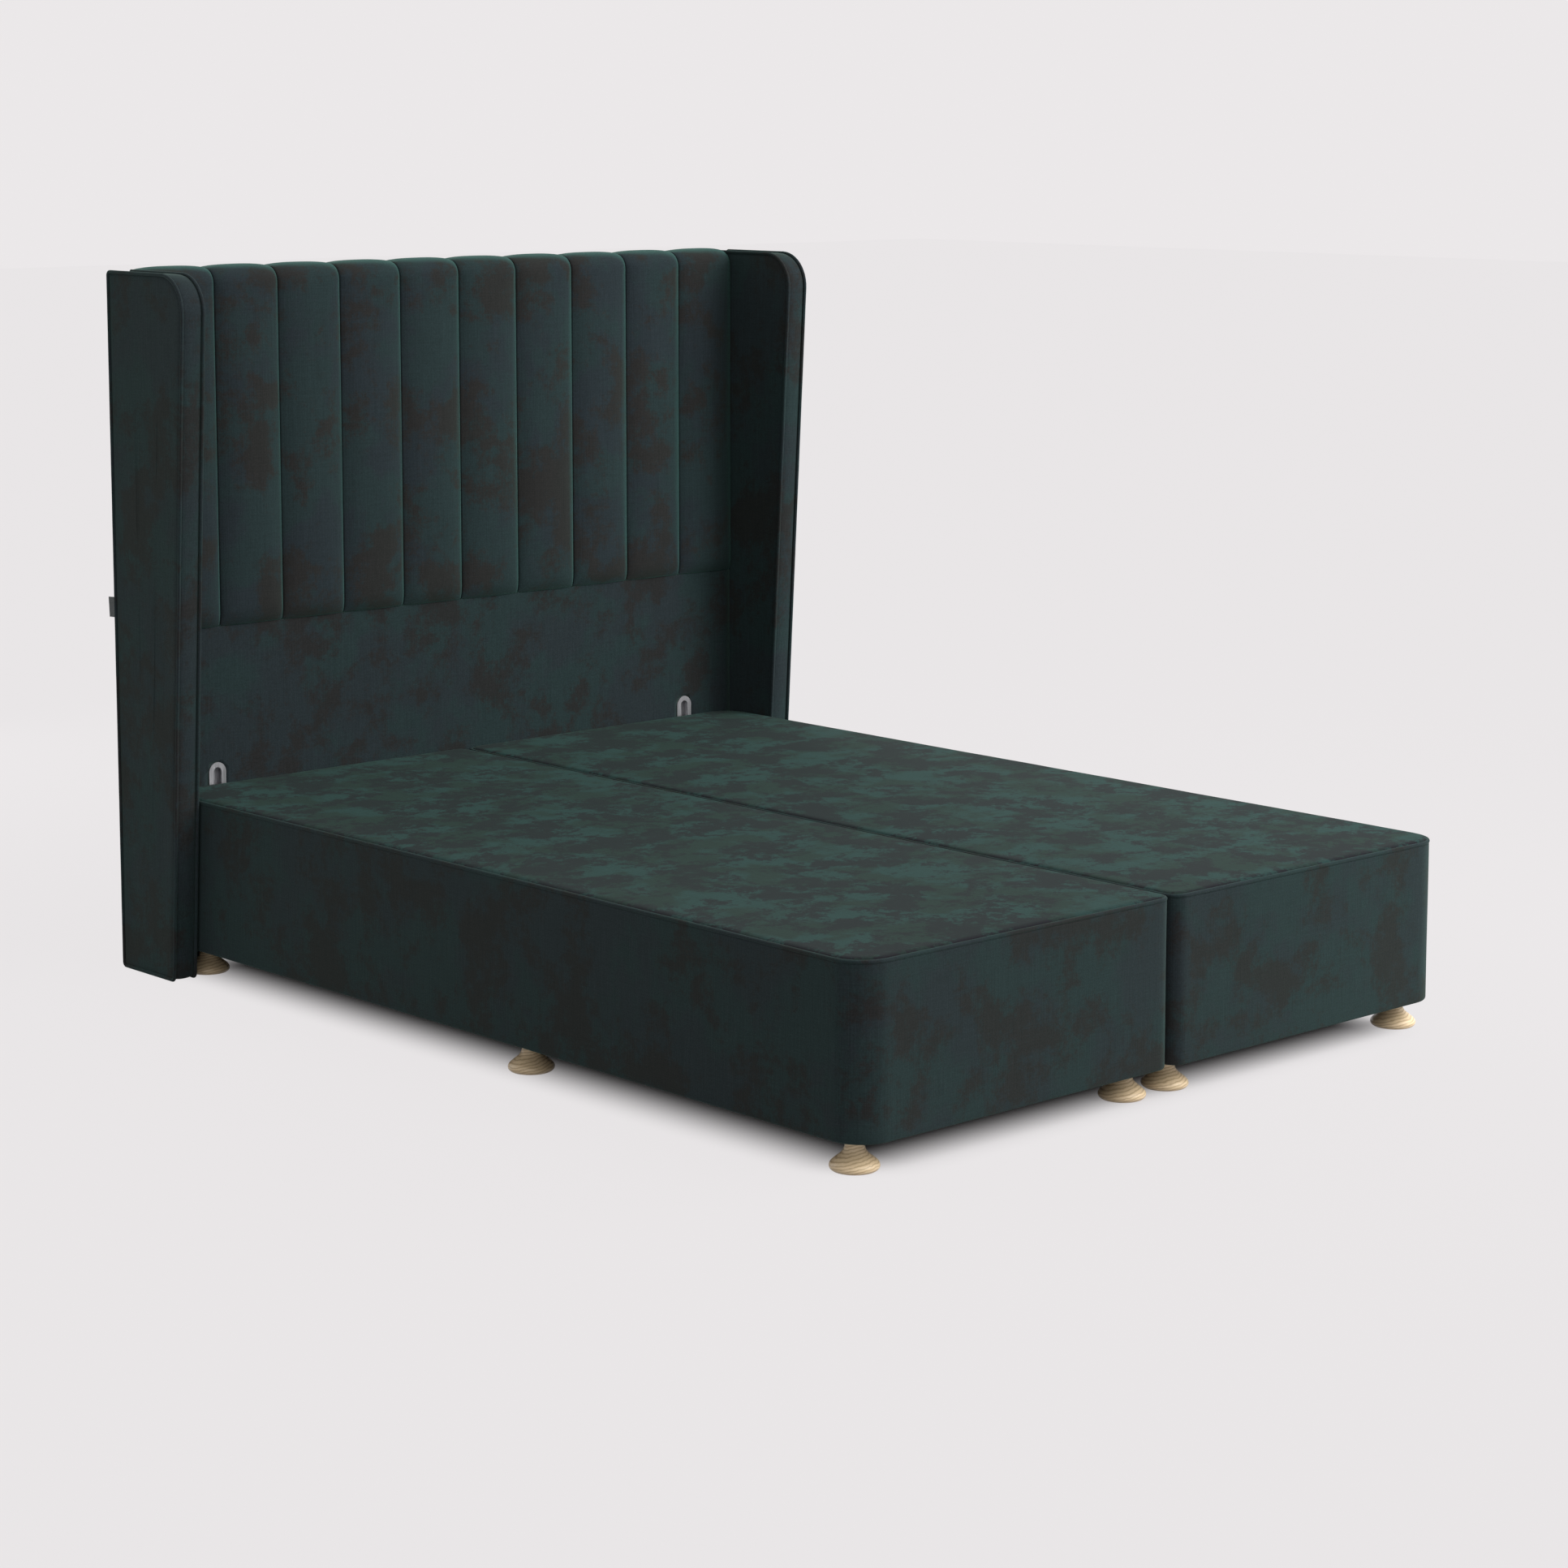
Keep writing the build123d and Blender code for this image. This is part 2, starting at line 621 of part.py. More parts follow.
wing_inner_x = inner_width / 2
wing_cord_inset = wing_piping_diameter / 2 - wing_piping_stand_out
wing_cord_bevel = 2 * wing_cord_inset + math.sqrt(2) * (wing_piping_diameter / 2 + piping_clearance)
wing_cords = {}
for side, sign in side_signs.items():
    # Boxed wing core
    with BuildPart() as wing_core:
        with BuildSketch(Plane.YZ.offset(sign * (wing_inner_x + wing_cover_thickness))):
            add(wing_side(wing_cover_thickness))
        extrude(amount=sign * (wing_thickness - 2 * wing_cover_thickness))
    wing_core.part.label = f"wing_core_{side}"
    export_step(wing_core.part, f"parts/wing_core_{side}.step")

    # Piping: an open cord from under the front up and over the inner edge, a closed one outside
    corners = wing_corners(wing_cord_inset)
    radii = wing_radii(wing_cord_inset)
    cord_start = (corners[0][0] + wing_piping_return, corners[0][1])
    cord_end = (back_y - wing_corner_radius, corners[2][1])
    inner_cord_plane = Plane.YZ.offset(sign * (wing_inner_x + wing_cord_inset))
    outer_cord_plane = Plane.YZ.offset(sign * (wing_inner_x + wing_thickness - wing_cord_inset))
    with BuildLine(inner_cord_plane, mode=Mode.PRIVATE) as inner_line:
        FilletPolyline(cord_start, *corners[:2], cord_end, radius=radii[:2])
    with BuildLine(outer_cord_plane, mode=Mode.PRIVATE) as outer_line:
        FilletPolyline(*corners, radius=radii, close=True)
    wing_cords[side] = (Wire(inner_line.edges()), Wire(outer_line.edges()))
    with BuildPart() as wing_piping:
        for cord_path in wing_cords[side]:
            add(cord_along(cord_path, wing_piping_diameter))
    wing_piping.part.label = f"wing_piping_{side}"
    export_step(wing_piping.part, f"parts/wing_piping_{side}.step")

    # Padded cover over the core, bevelled for the piping and turned under the bottom
    with BuildPart() as wing_cover:
        with BuildSketch(Plane.YZ.offset(sign * wing_inner_x)):
            add(wing_side(0))
        extrude(amount=sign * wing_thickness)
        chamfer(wing_cover.faces().filter_by(Axis.X).edges(), wing_cord_bevel)
        add(wing_core.part, mode=Mode.SUBTRACT)
        with BuildSketch(Plane.XY.offset(wing_bottom)):
            opening_front = wing_front_y(wing_bottom) + wing_turn_under
            opening_back = back_y - wing_turn_under
            with Locations((sign * (wing_inner_x + wing_thickness / 2), (opening_front + opening_back) / 2)):
                Rectangle(wing_thickness - 2 * wing_turn_under, opening_back - opening_front)
        extrude(amount=wing_cover_thickness, mode=Mode.SUBTRACT)
    wing_cover.part.label = f"wing_cover_{side}"
    export_step(wing_cover.part, f"parts/wing_cover_{side}.step")

# Glides under the wings
glide_height = wing_bottom + wing_cover_thickness
with BuildPart() as headboard_glides:
    with BuildSketch():
        for sign in side_signs.values():
            glide_x = sign * (wing_inner_x + wing_thickness / 2)
            with Locations((glide_x, wing_front_y(0) + glide_inset), (glide_x, back_y - glide_inset)):
                Circle(glide_diameter / 2)
    extrude(amount=glide_height)
headboard_glides.part.label = "headboard_glides"
export_step(headboard_glides.part, "parts/headboard_glides.step")


def channel_section(share):
    """Side section of the channelled pad where its crown stands out by this share."""
    front = panel_y - pad_seam_proud - channel_crown * share
    top = pad_height + channel_top_crown * share
    slant = math.sqrt(2) / 2
    with BuildSketch(mode=Mode.PRIVATE) as section:
        with BuildLine():
            floor = Line((front_board_y, pad_seam_height), (front + pad_bottom_bevel, pad_seam_height))
            toe = Line(floor @ 1, (front, pad_seam_height + pad_bottom_bevel))
            face = Line(toe @ 1, (front, top - pad_front_radius))
            brow = ThreePointArc(
                face @ 1,
                (front + pad_front_radius * (1 - slant), top - pad_front_radius * (1 - slant)),
                (front + pad_front_radius, top),
            )
            roof = Line(brow @ 1, (back_y - pad_back_bevel, top))
            nape = Line(roof @ 1, (back_y, top - pad_back_bevel))
            drop = Line(nape @ 1, (back_y, frame_top_z))
            ledge = Line(drop @ 1, (front_board_y, frame_top_z))
            Line(ledge @ 1, floor @ 0)
        make_face()
    return section.sketch


# Channelled pad: one lofted channel, repeated between the wings and joined at the seams
channel_width = inner_width / channel_count
with BuildPart() as channel:
    for step, share in enumerate(crown_shares):
        x = channel_width * (step / (len(crown_shares) - 1) - 1 / 2)
        with BuildSketch(Plane.YZ.offset(x)):
            add(channel_section(share))
    loft(ruled=True)
with BuildPart() as channel_pad:
    with GridLocations(channel_width, channel_width, channel_count, 1):
        add(channel.part)
    for inner_cord, outer_cord in wing_cords.values():
        add(cord_along(inner_cord, wing_piping_diameter + 2 * piping_clearance), mode=Mode.SUBTRACT)
channel_pad.part.label = "channel_pad"
export_step(channel_pad.part, "parts/channel_pad.step")
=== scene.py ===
import bpy
import bmesh
import json
import math
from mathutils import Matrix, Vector, noise


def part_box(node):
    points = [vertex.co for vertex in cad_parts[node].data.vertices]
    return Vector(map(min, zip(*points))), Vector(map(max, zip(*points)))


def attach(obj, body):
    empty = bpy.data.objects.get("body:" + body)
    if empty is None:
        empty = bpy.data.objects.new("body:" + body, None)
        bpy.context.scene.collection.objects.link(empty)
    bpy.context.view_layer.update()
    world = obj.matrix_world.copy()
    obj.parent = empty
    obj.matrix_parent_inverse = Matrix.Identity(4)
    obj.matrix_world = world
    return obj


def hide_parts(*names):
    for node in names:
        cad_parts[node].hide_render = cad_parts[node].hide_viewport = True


print("loading the frame")
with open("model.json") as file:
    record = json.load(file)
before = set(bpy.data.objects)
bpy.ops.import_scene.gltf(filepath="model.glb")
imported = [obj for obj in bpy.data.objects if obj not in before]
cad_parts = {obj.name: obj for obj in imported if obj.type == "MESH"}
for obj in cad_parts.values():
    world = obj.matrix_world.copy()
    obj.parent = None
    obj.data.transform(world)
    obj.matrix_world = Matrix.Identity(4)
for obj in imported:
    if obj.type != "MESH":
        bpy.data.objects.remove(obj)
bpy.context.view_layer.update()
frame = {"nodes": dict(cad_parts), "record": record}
sideSigns = {"left": -1, "right": 1}


# Objects and nodes

def addObject(name, data):
    item = bpy.data.objects.new(name, data)
    bpy.context.scene.collection.objects.link(item)
    return item


def setAll(item, settings):
    for key, value in settings.items():
        setattr(item, key, value)


def addModifier(item, name, kind, **settings):
    modifier = item.modifiers.new(name, kind)
    setAll(modifier, settings)
    return modifier


def feed(tree, target, source):
    # A node gives its first output, a socket is linked, and anything else becomes the input's own value
    if isinstance(source, bpy.types.Node):
        source = source.outputs[0]
    if isinstance(source, bpy.types.NodeSocket):
        tree.links.new(source, target)
    else:
        target.default_value = (*source, 1.0) if target.type == "RGBA" else source


def addNode(tree, kind, inputs=None, **settings):
    node = tree.nodes.new(kind)
    setAll(node, settings)
    for key, source in (inputs or {}).items():
        feed(tree, node.inputs[key], source)
    return node


def mathNode(tree, operation, first, second, clamp=False):
    inputs = {0: first, 1: second}
    return addNode(tree, "ShaderNodeMath", inputs, operation=operation, use_clamp=clamp)


def vectorNode(tree, operation, first, second=None):
    inputs = {0: first}
    if second is not None:
        inputs["Scale" if operation == "SCALE" else 1] = second
    return addNode(tree, "ShaderNodeVectorMath", inputs, operation=operation)


def rangeNode(tree, value, fromRange, toRange=(0.0, 1.0), smooth=False):
    labels = ("From Min", "From Max", "To Min", "To Max")
    inputs = {"Value": value, **dict(zip(labels, (*fromRange, *toRange)))}
    kind = "SMOOTHSTEP" if smooth else "LINEAR"
    return addNode(tree, "ShaderNodeMapRange", inputs, interpolation_type=kind)


def mixNode(tree, share, first, second):
    inputs = {0: share, 6: first, 7: second}
    return addNode(tree, "ShaderNodeMix", inputs, data_type="RGBA").outputs[2]


def noiseNode(tree, vector, scale, look):
    return addNode(tree, "ShaderNodeTexNoise", {"Vector": vector, "Scale": scale, **look})


def mappingNode(tree, vector, key, value):
    return addNode(tree, "ShaderNodeMapping", {"Vector": vector, key: value})


def bumpNode(tree, height, look, inward=False):
    return addNode(tree, "ShaderNodeBump", {"Height": height, **look}, invert=inward)


def seenNode(tree):
    # 1 for a camera, glossy or transmission ray
    rays = addNode(tree, "ShaderNodeLightPath").outputs
    cameraOrGlossy = mathNode(tree, "MAXIMUM", rays["Is Camera Ray"], rays["Is Glossy Ray"])
    return mathNode(tree, "MAXIMUM", cameraOrGlossy, rays["Is Transmission Ray"])


def newMaterial(name):
    material = bpy.data.materials.new(name)
    material.use_nodes = True
    tree = material.node_tree
    return material, tree, addNode(tree, "ShaderNodeTexCoord").outputs["Object"]


def setShader(tree, inputs):
    shader = tree.nodes["Principled BSDF"]
    for key, source in inputs.items():
        feed(tree, shader.inputs[key], source)
    return shader


def newGroup(name, kind, inputs, outputs):
    # Gives the tree, the sockets that bring its inputs in, and the ones that take its outputs
    group = bpy.data.node_groups.new(name, kind + "NodeTree")
    for direction, sockets in (("INPUT", inputs), ("OUTPUT", outputs)):
        for label, socket in sockets.items():
            group.interface.new_socket(label, in_out=direction, socket_type="NodeSocket" + socket)
    return group, group.nodes.new("NodeGroupInput").outputs, group.nodes.new("NodeGroupOutput").inputs


# Stage and camera

camera = {
    "location": (-4.6596, -5.1198, 1.6981),
    "azimuth": 42.517,  # from +Y towards +X
    "tilt": -7.562,
    "optics": {"lens": 83.803, "sensor_width": 36.0, "shift_y": -0.12, "clip_end": 100.0},
}
light = {
    # towards where it comes from, strength and angle
    "suns": {
        "keySun": ((0.36, -0.62, 0.70), 2.45, 50.0),
        "fillSun": ((-0.63, -0.60, 0.49), 0.60, 70.0),
        "backSun": ((0.10, 0.90, 0.43), 0.9, 60.0),
    },
    # place, aim and power: one for the right side, one for the back of the headboard
    "panels": {
        "softPanel": ((2.35, -1.75, 1.75), (0.5, 0.6, 0.8), 74.0),
        "backPanel": ((-0.5, 3.7, 0.85), (0.0, 1.03, 0.75), 36.0),
    },
    "panelSize": 1.6,
    "worldStrength": 0.26,
    "paper": (0.832, 0.808, 0.816),
    # the floor's diffuse colour, darker than the paper; seen near the bed it is painted shade
    "floorColour": (0.45, 0.440, 0.443),
    "floorSize": 60.0,
    "paintedShadeHalf": (0.60, 0.88, 10.0),  # half the floor under the bed, where the camera sees only the floor's darker diffuse colour: painted shade round the bed, on top of the real shadow
    "paintedShadeReach": 0.195,  # from there the painted shade fades into the paper glow over this distance
    "shareAway": 0.95,
}


def setCamera():
    data = bpy.data.cameras.new("camera")
    setAll(data, camera["optics"])
    shooter = addObject("camera", data)
    shooter.location = camera["location"]
    tilt, azimuth = math.radians(90.0 + camera["tilt"]), math.radians(camera["azimuth"])
    shooter.rotation_euler = (tilt, 0.0, -azimuth)
    bpy.context.scene.camera = shooter


def addLamp(name, kind, power, towards):
    data = bpy.data.lights.new(name, kind)
    data.energy = power
    lamp = addObject(name, data)
    lamp.rotation_mode = "QUATERNION"
    lamp.rotation_quaternion = Vector(towards).to_track_quat("Z", "Y")
    return lamp


def setLights():
    for name, (towards, strength, angle) in light["suns"].items():
        addLamp(name, "SUN", strength, towards).data.angle = math.radians(angle)
    for name, (place, aim, power) in light["panels"].items():
        panel = addLamp(name, "AREA", power, Vector(place) - Vector(aim))
        panel.data.size = light["panelSize"]
        setAll(panel, {"location": place, "visible_camera": False, "visible_glossy": False})


def setWorld():
    world = bpy.data.worlds.new("studio")
    bpy.context.scene.world = world
    world.use_nodes = True
    tree = world.node_tree
    tree.nodes.clear()
    white = (1.0, 1.0, 1.0)
    ambient = addNode(tree, "ShaderNodeBackground", {"Color": white, "Strength": light["worldStrength"]})
    paper = addNode(tree, "ShaderNodeBackground", {"Color": light["paper"]})
    mix = addNode(tree, "ShaderNodeMixShader", {0: seenNode(tree), 1: ambient, 2: paper})
    addNode(tree, "ShaderNodeOutputWorld", {"Surface": mix})


def setFloor():
    # Away from the bed the floor glows in the paper's colour to the camera, so its shadows stay short;
    # near the bed it shows its darker diffuse colour, painted shade round the bed besides the real
    # shadow
    half = light["floorSize"] / 2
    mesh = bpy.data.meshes.new("floor")
    corners = [(-half, -half, 0), (half, -half, 0), (half, half, 0), (-half, half, 0)]
    mesh.from_pydata(corners, [], [(0, 1, 2, 3)])
    floor = addObject("floor", mesh)
    matte, tree, place = newMaterial("floorPaper")
    looks = {"Base Color": light["floorColour"], "Roughness": 1.0, "Specular IOR Level": 0.0}
    shader = setShader(tree, looks)
    beyond = vectorNode(tree, "SUBTRACT", vectorNode(tree, "ABSOLUTE", place), light["paintedShadeHalf"])
    outside = vectorNode(tree, "MAXIMUM", beyond, (0.0, 0.0, 0.0))
    distance = vectorNode(tree, "LENGTH", outside).outputs["Value"]
    # the glow's share grows with the distance from the bed; where it is small, the darker floor colour
    # shows as painted shade
    share = rangeNode(tree, distance, (0.0, light["paintedShadeReach"]), (0.0, light["shareAway"]), smooth=True)
    amount = mathNode(tree, "MULTIPLY", share, seenNode(tree))
    glow = addNode(tree, "ShaderNodeEmission", {"Color": light["paper"]})
    mix = addNode(tree, "ShaderNodeMixShader", {0: amount, 1: shader, 2: glow})
    feed(tree, tree.nodes["Material Output"].inputs["Surface"], mix)
    mesh.materials.append(matte)


# Velvet

napLook = {
    "drift": {"Detail": 8.0, "Roughness": 0.64, "Distortion": 0.15},
    "driftEdges": (0.44, 0.56),
    "patch": {"Detail": 12.0, "Distortion": 0.1},
    "patchShift": (3.7, 1.9, 5.3),
    "pile": {"Detail": 4.0, "Roughness": 0.7},
    "pileScale": 320.0,
}


def makeNapGroup():
    # Where the pile lies the other way: wide drifts, ragged patches, and the fine tips of the pile
    group, given, wanted = newGroup(
        "crushedNap",
        "Shader",
        {"Vector": "Vector", **{label: "Float" for label in sideNap["patches"]}},
        {"Drifts": "Float", "Patches": "Float", "Pile": "Float"},
    )
    vector = given["Vector"]
    drift = noiseNode(group, vector, given["Drift Scale"], napLook["drift"])
    moved = vectorNode(group, "ADD", vector, napLook["patchShift"])
    ragged = {**napLook["patch"], "Roughness": given["Raggedness"]}
    patch = noiseNode(group, moved, given["Patch Scale"], ragged)
    patchEdges = (given["Patch Low"], given["Patch High"])
    feed(group, wanted["Drifts"], rangeNode(group, drift, napLook["driftEdges"], smooth=True))
    feed(group, wanted["Patches"], rangeNode(group, patch, patchEdges, smooth=True))
    feed(group, wanted["Pile"], noiseNode(group, vector, napLook["pileScale"], napLook["pile"]))
    return group


weaveLook = {
    "stretches": ((1.0, 1.0, 0.02), (0.03, 0.03, 1.0)),
    "threads": {"Detail": 2.0, "Roughness": 0.5},
    "acrossShare": 0.38,
}


def makeWeaveGroup():
    # Fine threads both ways, the ones along Z stronger, uneven along their length
    inputs = {"Vector": "Vector", "Threads": "Float"}
    group, given, wanted = newGroup("fineWeave", "Shader", inputs, {"Lines": "Float"})
    tones = []
    for stretch in weaveLook["stretches"]:
        drawn = vectorNode(group, "MULTIPLY", given["Vector"], stretch)
        tones.append(noiseNode(group, drawn, given["Threads"], weaveLook["threads"]))
    inputs = {0: weaveLook["acrossShare"], 2: tones[0], 3: tones[1]}
    mixed = addNode(group, "ShaderNodeMix", inputs, data_type="FLOAT")
    feed(group, wanted["Lines"], mixed)
    return group


sideNap = {
    "slate": (0.0149, 0.0206, 0.0243),
    "teal": (0.0137, 0.0246, 0.0260),
    "brown": (0.0150, 0.0136, 0.0138),
    "patches": {  # drifts, and where the brown patches begin and are full
        "Drift Scale": 5.0, "Patch Scale": 5.9,
        "Patch Low": 0.482, "Patch High": 0.570, "Raggedness": 0.76,
    },
    "brownShare": 0.9,
    "sheenWeight": 0.08,
    "paintedSheenShare": 0.0,
    "threadTurn": (0.0, 0.0, 0.0),
}
padNap = {
    **sideNap,
    "slate": (0.0140, 0.0196, 0.0242),
    "teal": (0.0132, 0.0234, 0.0254),
    "brown": (0.0160, 0.0138, 0.0134),
    "sheenWeight": 0.10,
    # the channels get a painted sheen highlight: bright teal mixed into their colour where they face
    # away from the camera
    "paintedSheenShare": 0.75,
}
# The top's own colours, greener and more teal than the sides', are a painted sheen: a lit copy of the
# same velvet for the grazing view of the top. Its finer pattern, turned along the top, is the nap's own.
topNap = {
    "slate": (0.0100, 0.0180, 0.0160),
    "teal": (0.0136, 0.0326, 0.0316),
    "brown": (0.0072, 0.0054, 0.0090),
    "patches": {
        "Drift Scale": 8.0, "Patch Scale": 9.5,
        "Patch Low": 0.485, "Patch High": 0.520, "Raggedness": 0.82,
    },
    "brownShare": 1.0,
    "sheenWeight": 0.045,
    "paintedSheenShare": 0.0,
    "threadTurn": (math.radians(90), 0.0, 0.0),
}
velvetLook = {
    "surface": {
        "Roughness": 0.9,
        "Specular IOR Level": 0.15,
        "Sheen Roughness": 0.50,
        "Sheen Tint": (0.50, 0.95, 0.75),
    },
    # bright teal of the painted sheen highlight, and the facing over which it comes in
    "paintedSheenColour": (0.022, 0.062, 0.058),
    "paintedSheenFacing": (0.46, 0.70),
    "threads": 620.0,
    "threadRange": (0.35, 0.65),
    "threadTones": (0.84, 1.16),
    "pileRange": (0.3, 0.7),
    "pileTones": (0.78, 1.22),
    "bump": {"Strength": 0.3, "Distance": 0.0005},
}


def makeVelvet(name, nap):
    look = velvetLook
    material, tree, place = newMaterial(name)
    inputs = {"Vector": place, **nap["patches"]}
    crushed = addNode(tree, "ShaderNodeGroup", inputs, node_tree=napGroup).outputs
    turned = mappingNode(tree, place, "Rotation", nap["threadTurn"])
    inputs = {"Vector": turned, "Threads": look["threads"]}
    lines = addNode(tree, "ShaderNodeGroup", inputs, node_tree=weaveGroup)
    drifts = mixNode(tree, crushed["Drifts"], nap["slate"], nap["teal"])
    patchShare = mathNode(tree, "MULTIPLY", crushed["Patches"], nap["brownShare"])
    patched = mixNode(tree, patchShare, drifts, nap["brown"])
    # Painted sheen highlight: where the surface faces away from the camera, as where a channel turns
    # away at its seam, the colour is mixed towards a bright teal
    facing = addNode(tree, "ShaderNodeLayerWeight", {"Blend": 0.5}).outputs["Facing"]
    edge = rangeNode(tree, facing, look["paintedSheenFacing"], (0.0, nap["paintedSheenShare"]))
    withPaintedSheen = mixNode(tree, edge, patched, look["paintedSheenColour"])
    threadTone = rangeNode(tree, lines, look["threadRange"], look["threadTones"])
    pileTone = rangeNode(tree, crushed["Pile"], look["pileRange"], look["pileTones"])
    tone = mathNode(tree, "MULTIPLY", threadTone, pileTone)
    height = mathNode(tree, "ADD", crushed["Pile"], lines)
    setShader(tree, {
        "Base Color": vectorNode(tree, "SCALE", withPaintedSheen, tone),
        "Normal": bumpNode(tree, height, look["bump"]),
        "Sheen Weight": nap["sheenWeight"],
        **look["surface"],
    })
    return material


# Wood, metal and plain cloth

woodLook = {
    "waves": {"Distortion": 5.0, "Detail": 3.0, "Detail Scale": 0.6, "Detail Roughness": 0.6},
    "ringRange": (0.45, 1.0), "ringShare": 0.6,
    "poreDraw": (0.06, 1.0, 1.0), "poreScale": 900.0,
    "pores": {"Detail": 3.0, "Roughness": 0.6},
    "poreRange": (0.6, 0.72), "poreShare": 0.5,
    "bump": {"Strength": 0.3, "Distance": 0.0003},
    "coatRoughness": 0.25,
}
# pale and dark colour, scale of the rings, turn of the grain, roughness and coat
woods = {
    "turnedWood": ((0.77, 0.60, 0.38), (0.36, 0.225, 0.105), 62.0, (0.16, 0.12, 0.75), 0.45, 0.25),
    "softwood": ((0.60, 0.42, 0.24), (0.38, 0.22, 0.11), 28.0, (0.0, math.radians(90), 0.0), 0.7, 0.0),
    "boardWood": ((0.46, 0.33, 0.20), (0.30, 0.19, 0.11), 60.0, (0.0, 0.0, 0.3), 0.75, 0.0),
}


def makeGrainGroup():
    # Growth rings seen as wavy bands, with short dark pores along the grain
    inputs = {"Vector": "Vector", "Ring Scale": "Float"}
    group, given, wanted = newGroup("woodGrain", "Shader", inputs, {"Rings": "Float", "Pores": "Float"})
    inputs = {"Vector": given["Vector"], "Scale": given["Ring Scale"], **woodLook["waves"]}
    rings = addNode(group, "ShaderNodeTexWave", inputs, wave_type="BANDS", bands_direction="Z")
    drawn = vectorNode(group, "MULTIPLY", given["Vector"], woodLook["poreDraw"])
    feed(group, wanted["Rings"], rings.outputs["Fac"])
    feed(group, wanted["Pores"], noiseNode(group, drawn, woodLook["poreScale"], woodLook["pores"]))
    return group


def makeWood(name):
    pale, dark, ringScale, turn, roughness, coat = woods[name]
    material, tree, place = newMaterial(name)
    inputs = {"Vector": mappingNode(tree, place, "Rotation", turn), "Ring Scale": ringScale}
    grain = addNode(tree, "ShaderNodeGroup", inputs, node_tree=grainGroup).outputs
    ringShare = rangeNode(tree, grain["Rings"], woodLook["ringRange"], (0.0, woodLook["ringShare"]))
    poreShare = rangeNode(tree, grain["Pores"], woodLook["poreRange"], (0.0, woodLook["poreShare"]))
    share = mathNode(tree, "ADD", ringShare, poreShare, clamp=True)
    setShader(tree, {
        "Base Color": mixNode(tree, share, pale, dark),
        "Normal": bumpNode(tree, grain["Pores"], woodLook["bump"], inward=True),
        "Roughness": roughness,
        "Coat Weight": coat,
        "Coat Roughness": woodLook["coatRoughness"],
    })
    return material


metalLook = {
    "draw": (1.0, 1.0, 0.05),
    "scratches": {"Detail": 5.0, "Roughness": 0.7},
    "range": (0.3, 0.7), "roughShares": (0.75, 1.25),
    "tones": (0.9, 1.08),
    "bump": {"Strength": 0.1, "Distance": 0.0001},
}


def patterned(tree, colour, pattern, look):
    tone = rangeNode(tree, pattern, look["range"], look["tones"])
    toned = vectorNode(tree, "SCALE", colour, tone)
    return {"Base Color": toned, "Normal": bumpNode(tree, pattern, look["bump"])}


def makeMetal(name, colour, roughness, grainScale):
    look = metalLook
    material, tree, place = newMaterial(name)
    drawn = mappingNode(tree, place, "Scale", look["draw"])
    scratches = noiseNode(tree, drawn, grainScale, look["scratches"])
    roughRange = [roughness * share for share in look["roughShares"]]
    rough = rangeNode(tree, scratches, look["range"], roughRange)
    setShader(tree, {**patterned(tree, colour, scratches, look), "Roughness": rough, "Metallic": 1.0})
    return material


clothLook = {"range": (0.0, 0.8), "tones": (1.3, 0.7), "bump": {"Strength": 0.4, "Distance": 0.0003}}


def makeCloth(name, colour, cellScale, roughness):
    material, tree, place = newMaterial(name)
    cells = addNode(tree, "ShaderNodeTexVoronoi", {"Vector": place, "Scale": cellScale})
    setShader(tree, {**patterned(tree, colour, cells, clothLook), "Roughness": roughness})
    return material


print("materials")
napGroup = makeNapGroup()
weaveGroup = makeWeaveGroup()
grainGroup = makeGrainGroup()
velvet = makeVelvet("velvet", sideNap)
padVelvet = makeVelvet("padVelvet", padNap)
topVelvet = makeVelvet("topVelvet", topNap)
turnedWood, softwood, boardWood = (makeWood(name) for name in woods)
zincSteel = makeMetal("zincSteel", (0.60, 0.61, 0.62), 0.35, 500.0)
bracketSteel = makeMetal("bracketSteel", (0.66, 0.66, 0.68), 0.42, 350.0)
blackCloth = makeCloth("blackCloth", (0.012, 0.012, 0.013), 900.0, 0.95)
tapeCloth = makeCloth("tapeCloth", (0.10, 0.11, 0.11), 700.0, 0.8)
nylon = makeCloth("nylon", (0.02, 0.02, 0.02), 1500.0, 0.5)


# Mesh helpers

def makePiece(name, verts, faces, material, body):
    mesh = bpy.data.meshes.new(name)
    mesh.from_pydata([tuple(v) for v in verts], [], faces)
    mesh.validate()
    piece = addObject(name, mesh)
    finishPiece(piece, material, body)
    return piece


def finishPiece(piece, material, body, smooth=True):
    piece.data.materials.clear()
    piece.data.materials.append(material)
    for polygon in piece.data.polygons:
        polygon.use_smooth = smooth
        polygon.material_index = 0
    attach(piece, body)


def plainPiece(name, carrier):
    # Keeps what the carrier's modifiers make of it as a plain mesh
    graph = bpy.context.evaluated_depsgraph_get()
    mesh = bpy.data.meshes.new_from_object(carrier.evaluated_get(graph))
    mesh.name = name
    piece = addObject(name, mesh)
    bpy.data.objects.remove(carrier)
    return piece


def makeSheet(name, verts, rows, columns, material, body, slotName, thickness):
    faces = loopFaces(rows, columns, closedColumns=False)
    piece = makePiece(name, verts, faces, material, body)
    addModifier(piece, "cloth", "SOLIDIFY", thickness=thickness, offset=0.0)
    return piece


def saveMesh(work, mesh):
    bmesh.ops.recalc_face_normals(work, faces=work.faces)
    work.to_mesh(mesh)
    work.free()


def tidyNormals(piece):
    work = bmesh.new()
    work.from_mesh(piece.data)
    bmesh.ops.remove_doubles(work, verts=work.verts, dist=1e-6)
    saveMesh(work, piece.data)


def spread(low, high, count):
    return [low + (high - low) * k / count for k in range(count + 1)]


def clampShare(value):
    return min(1.0, max(0.0, value))


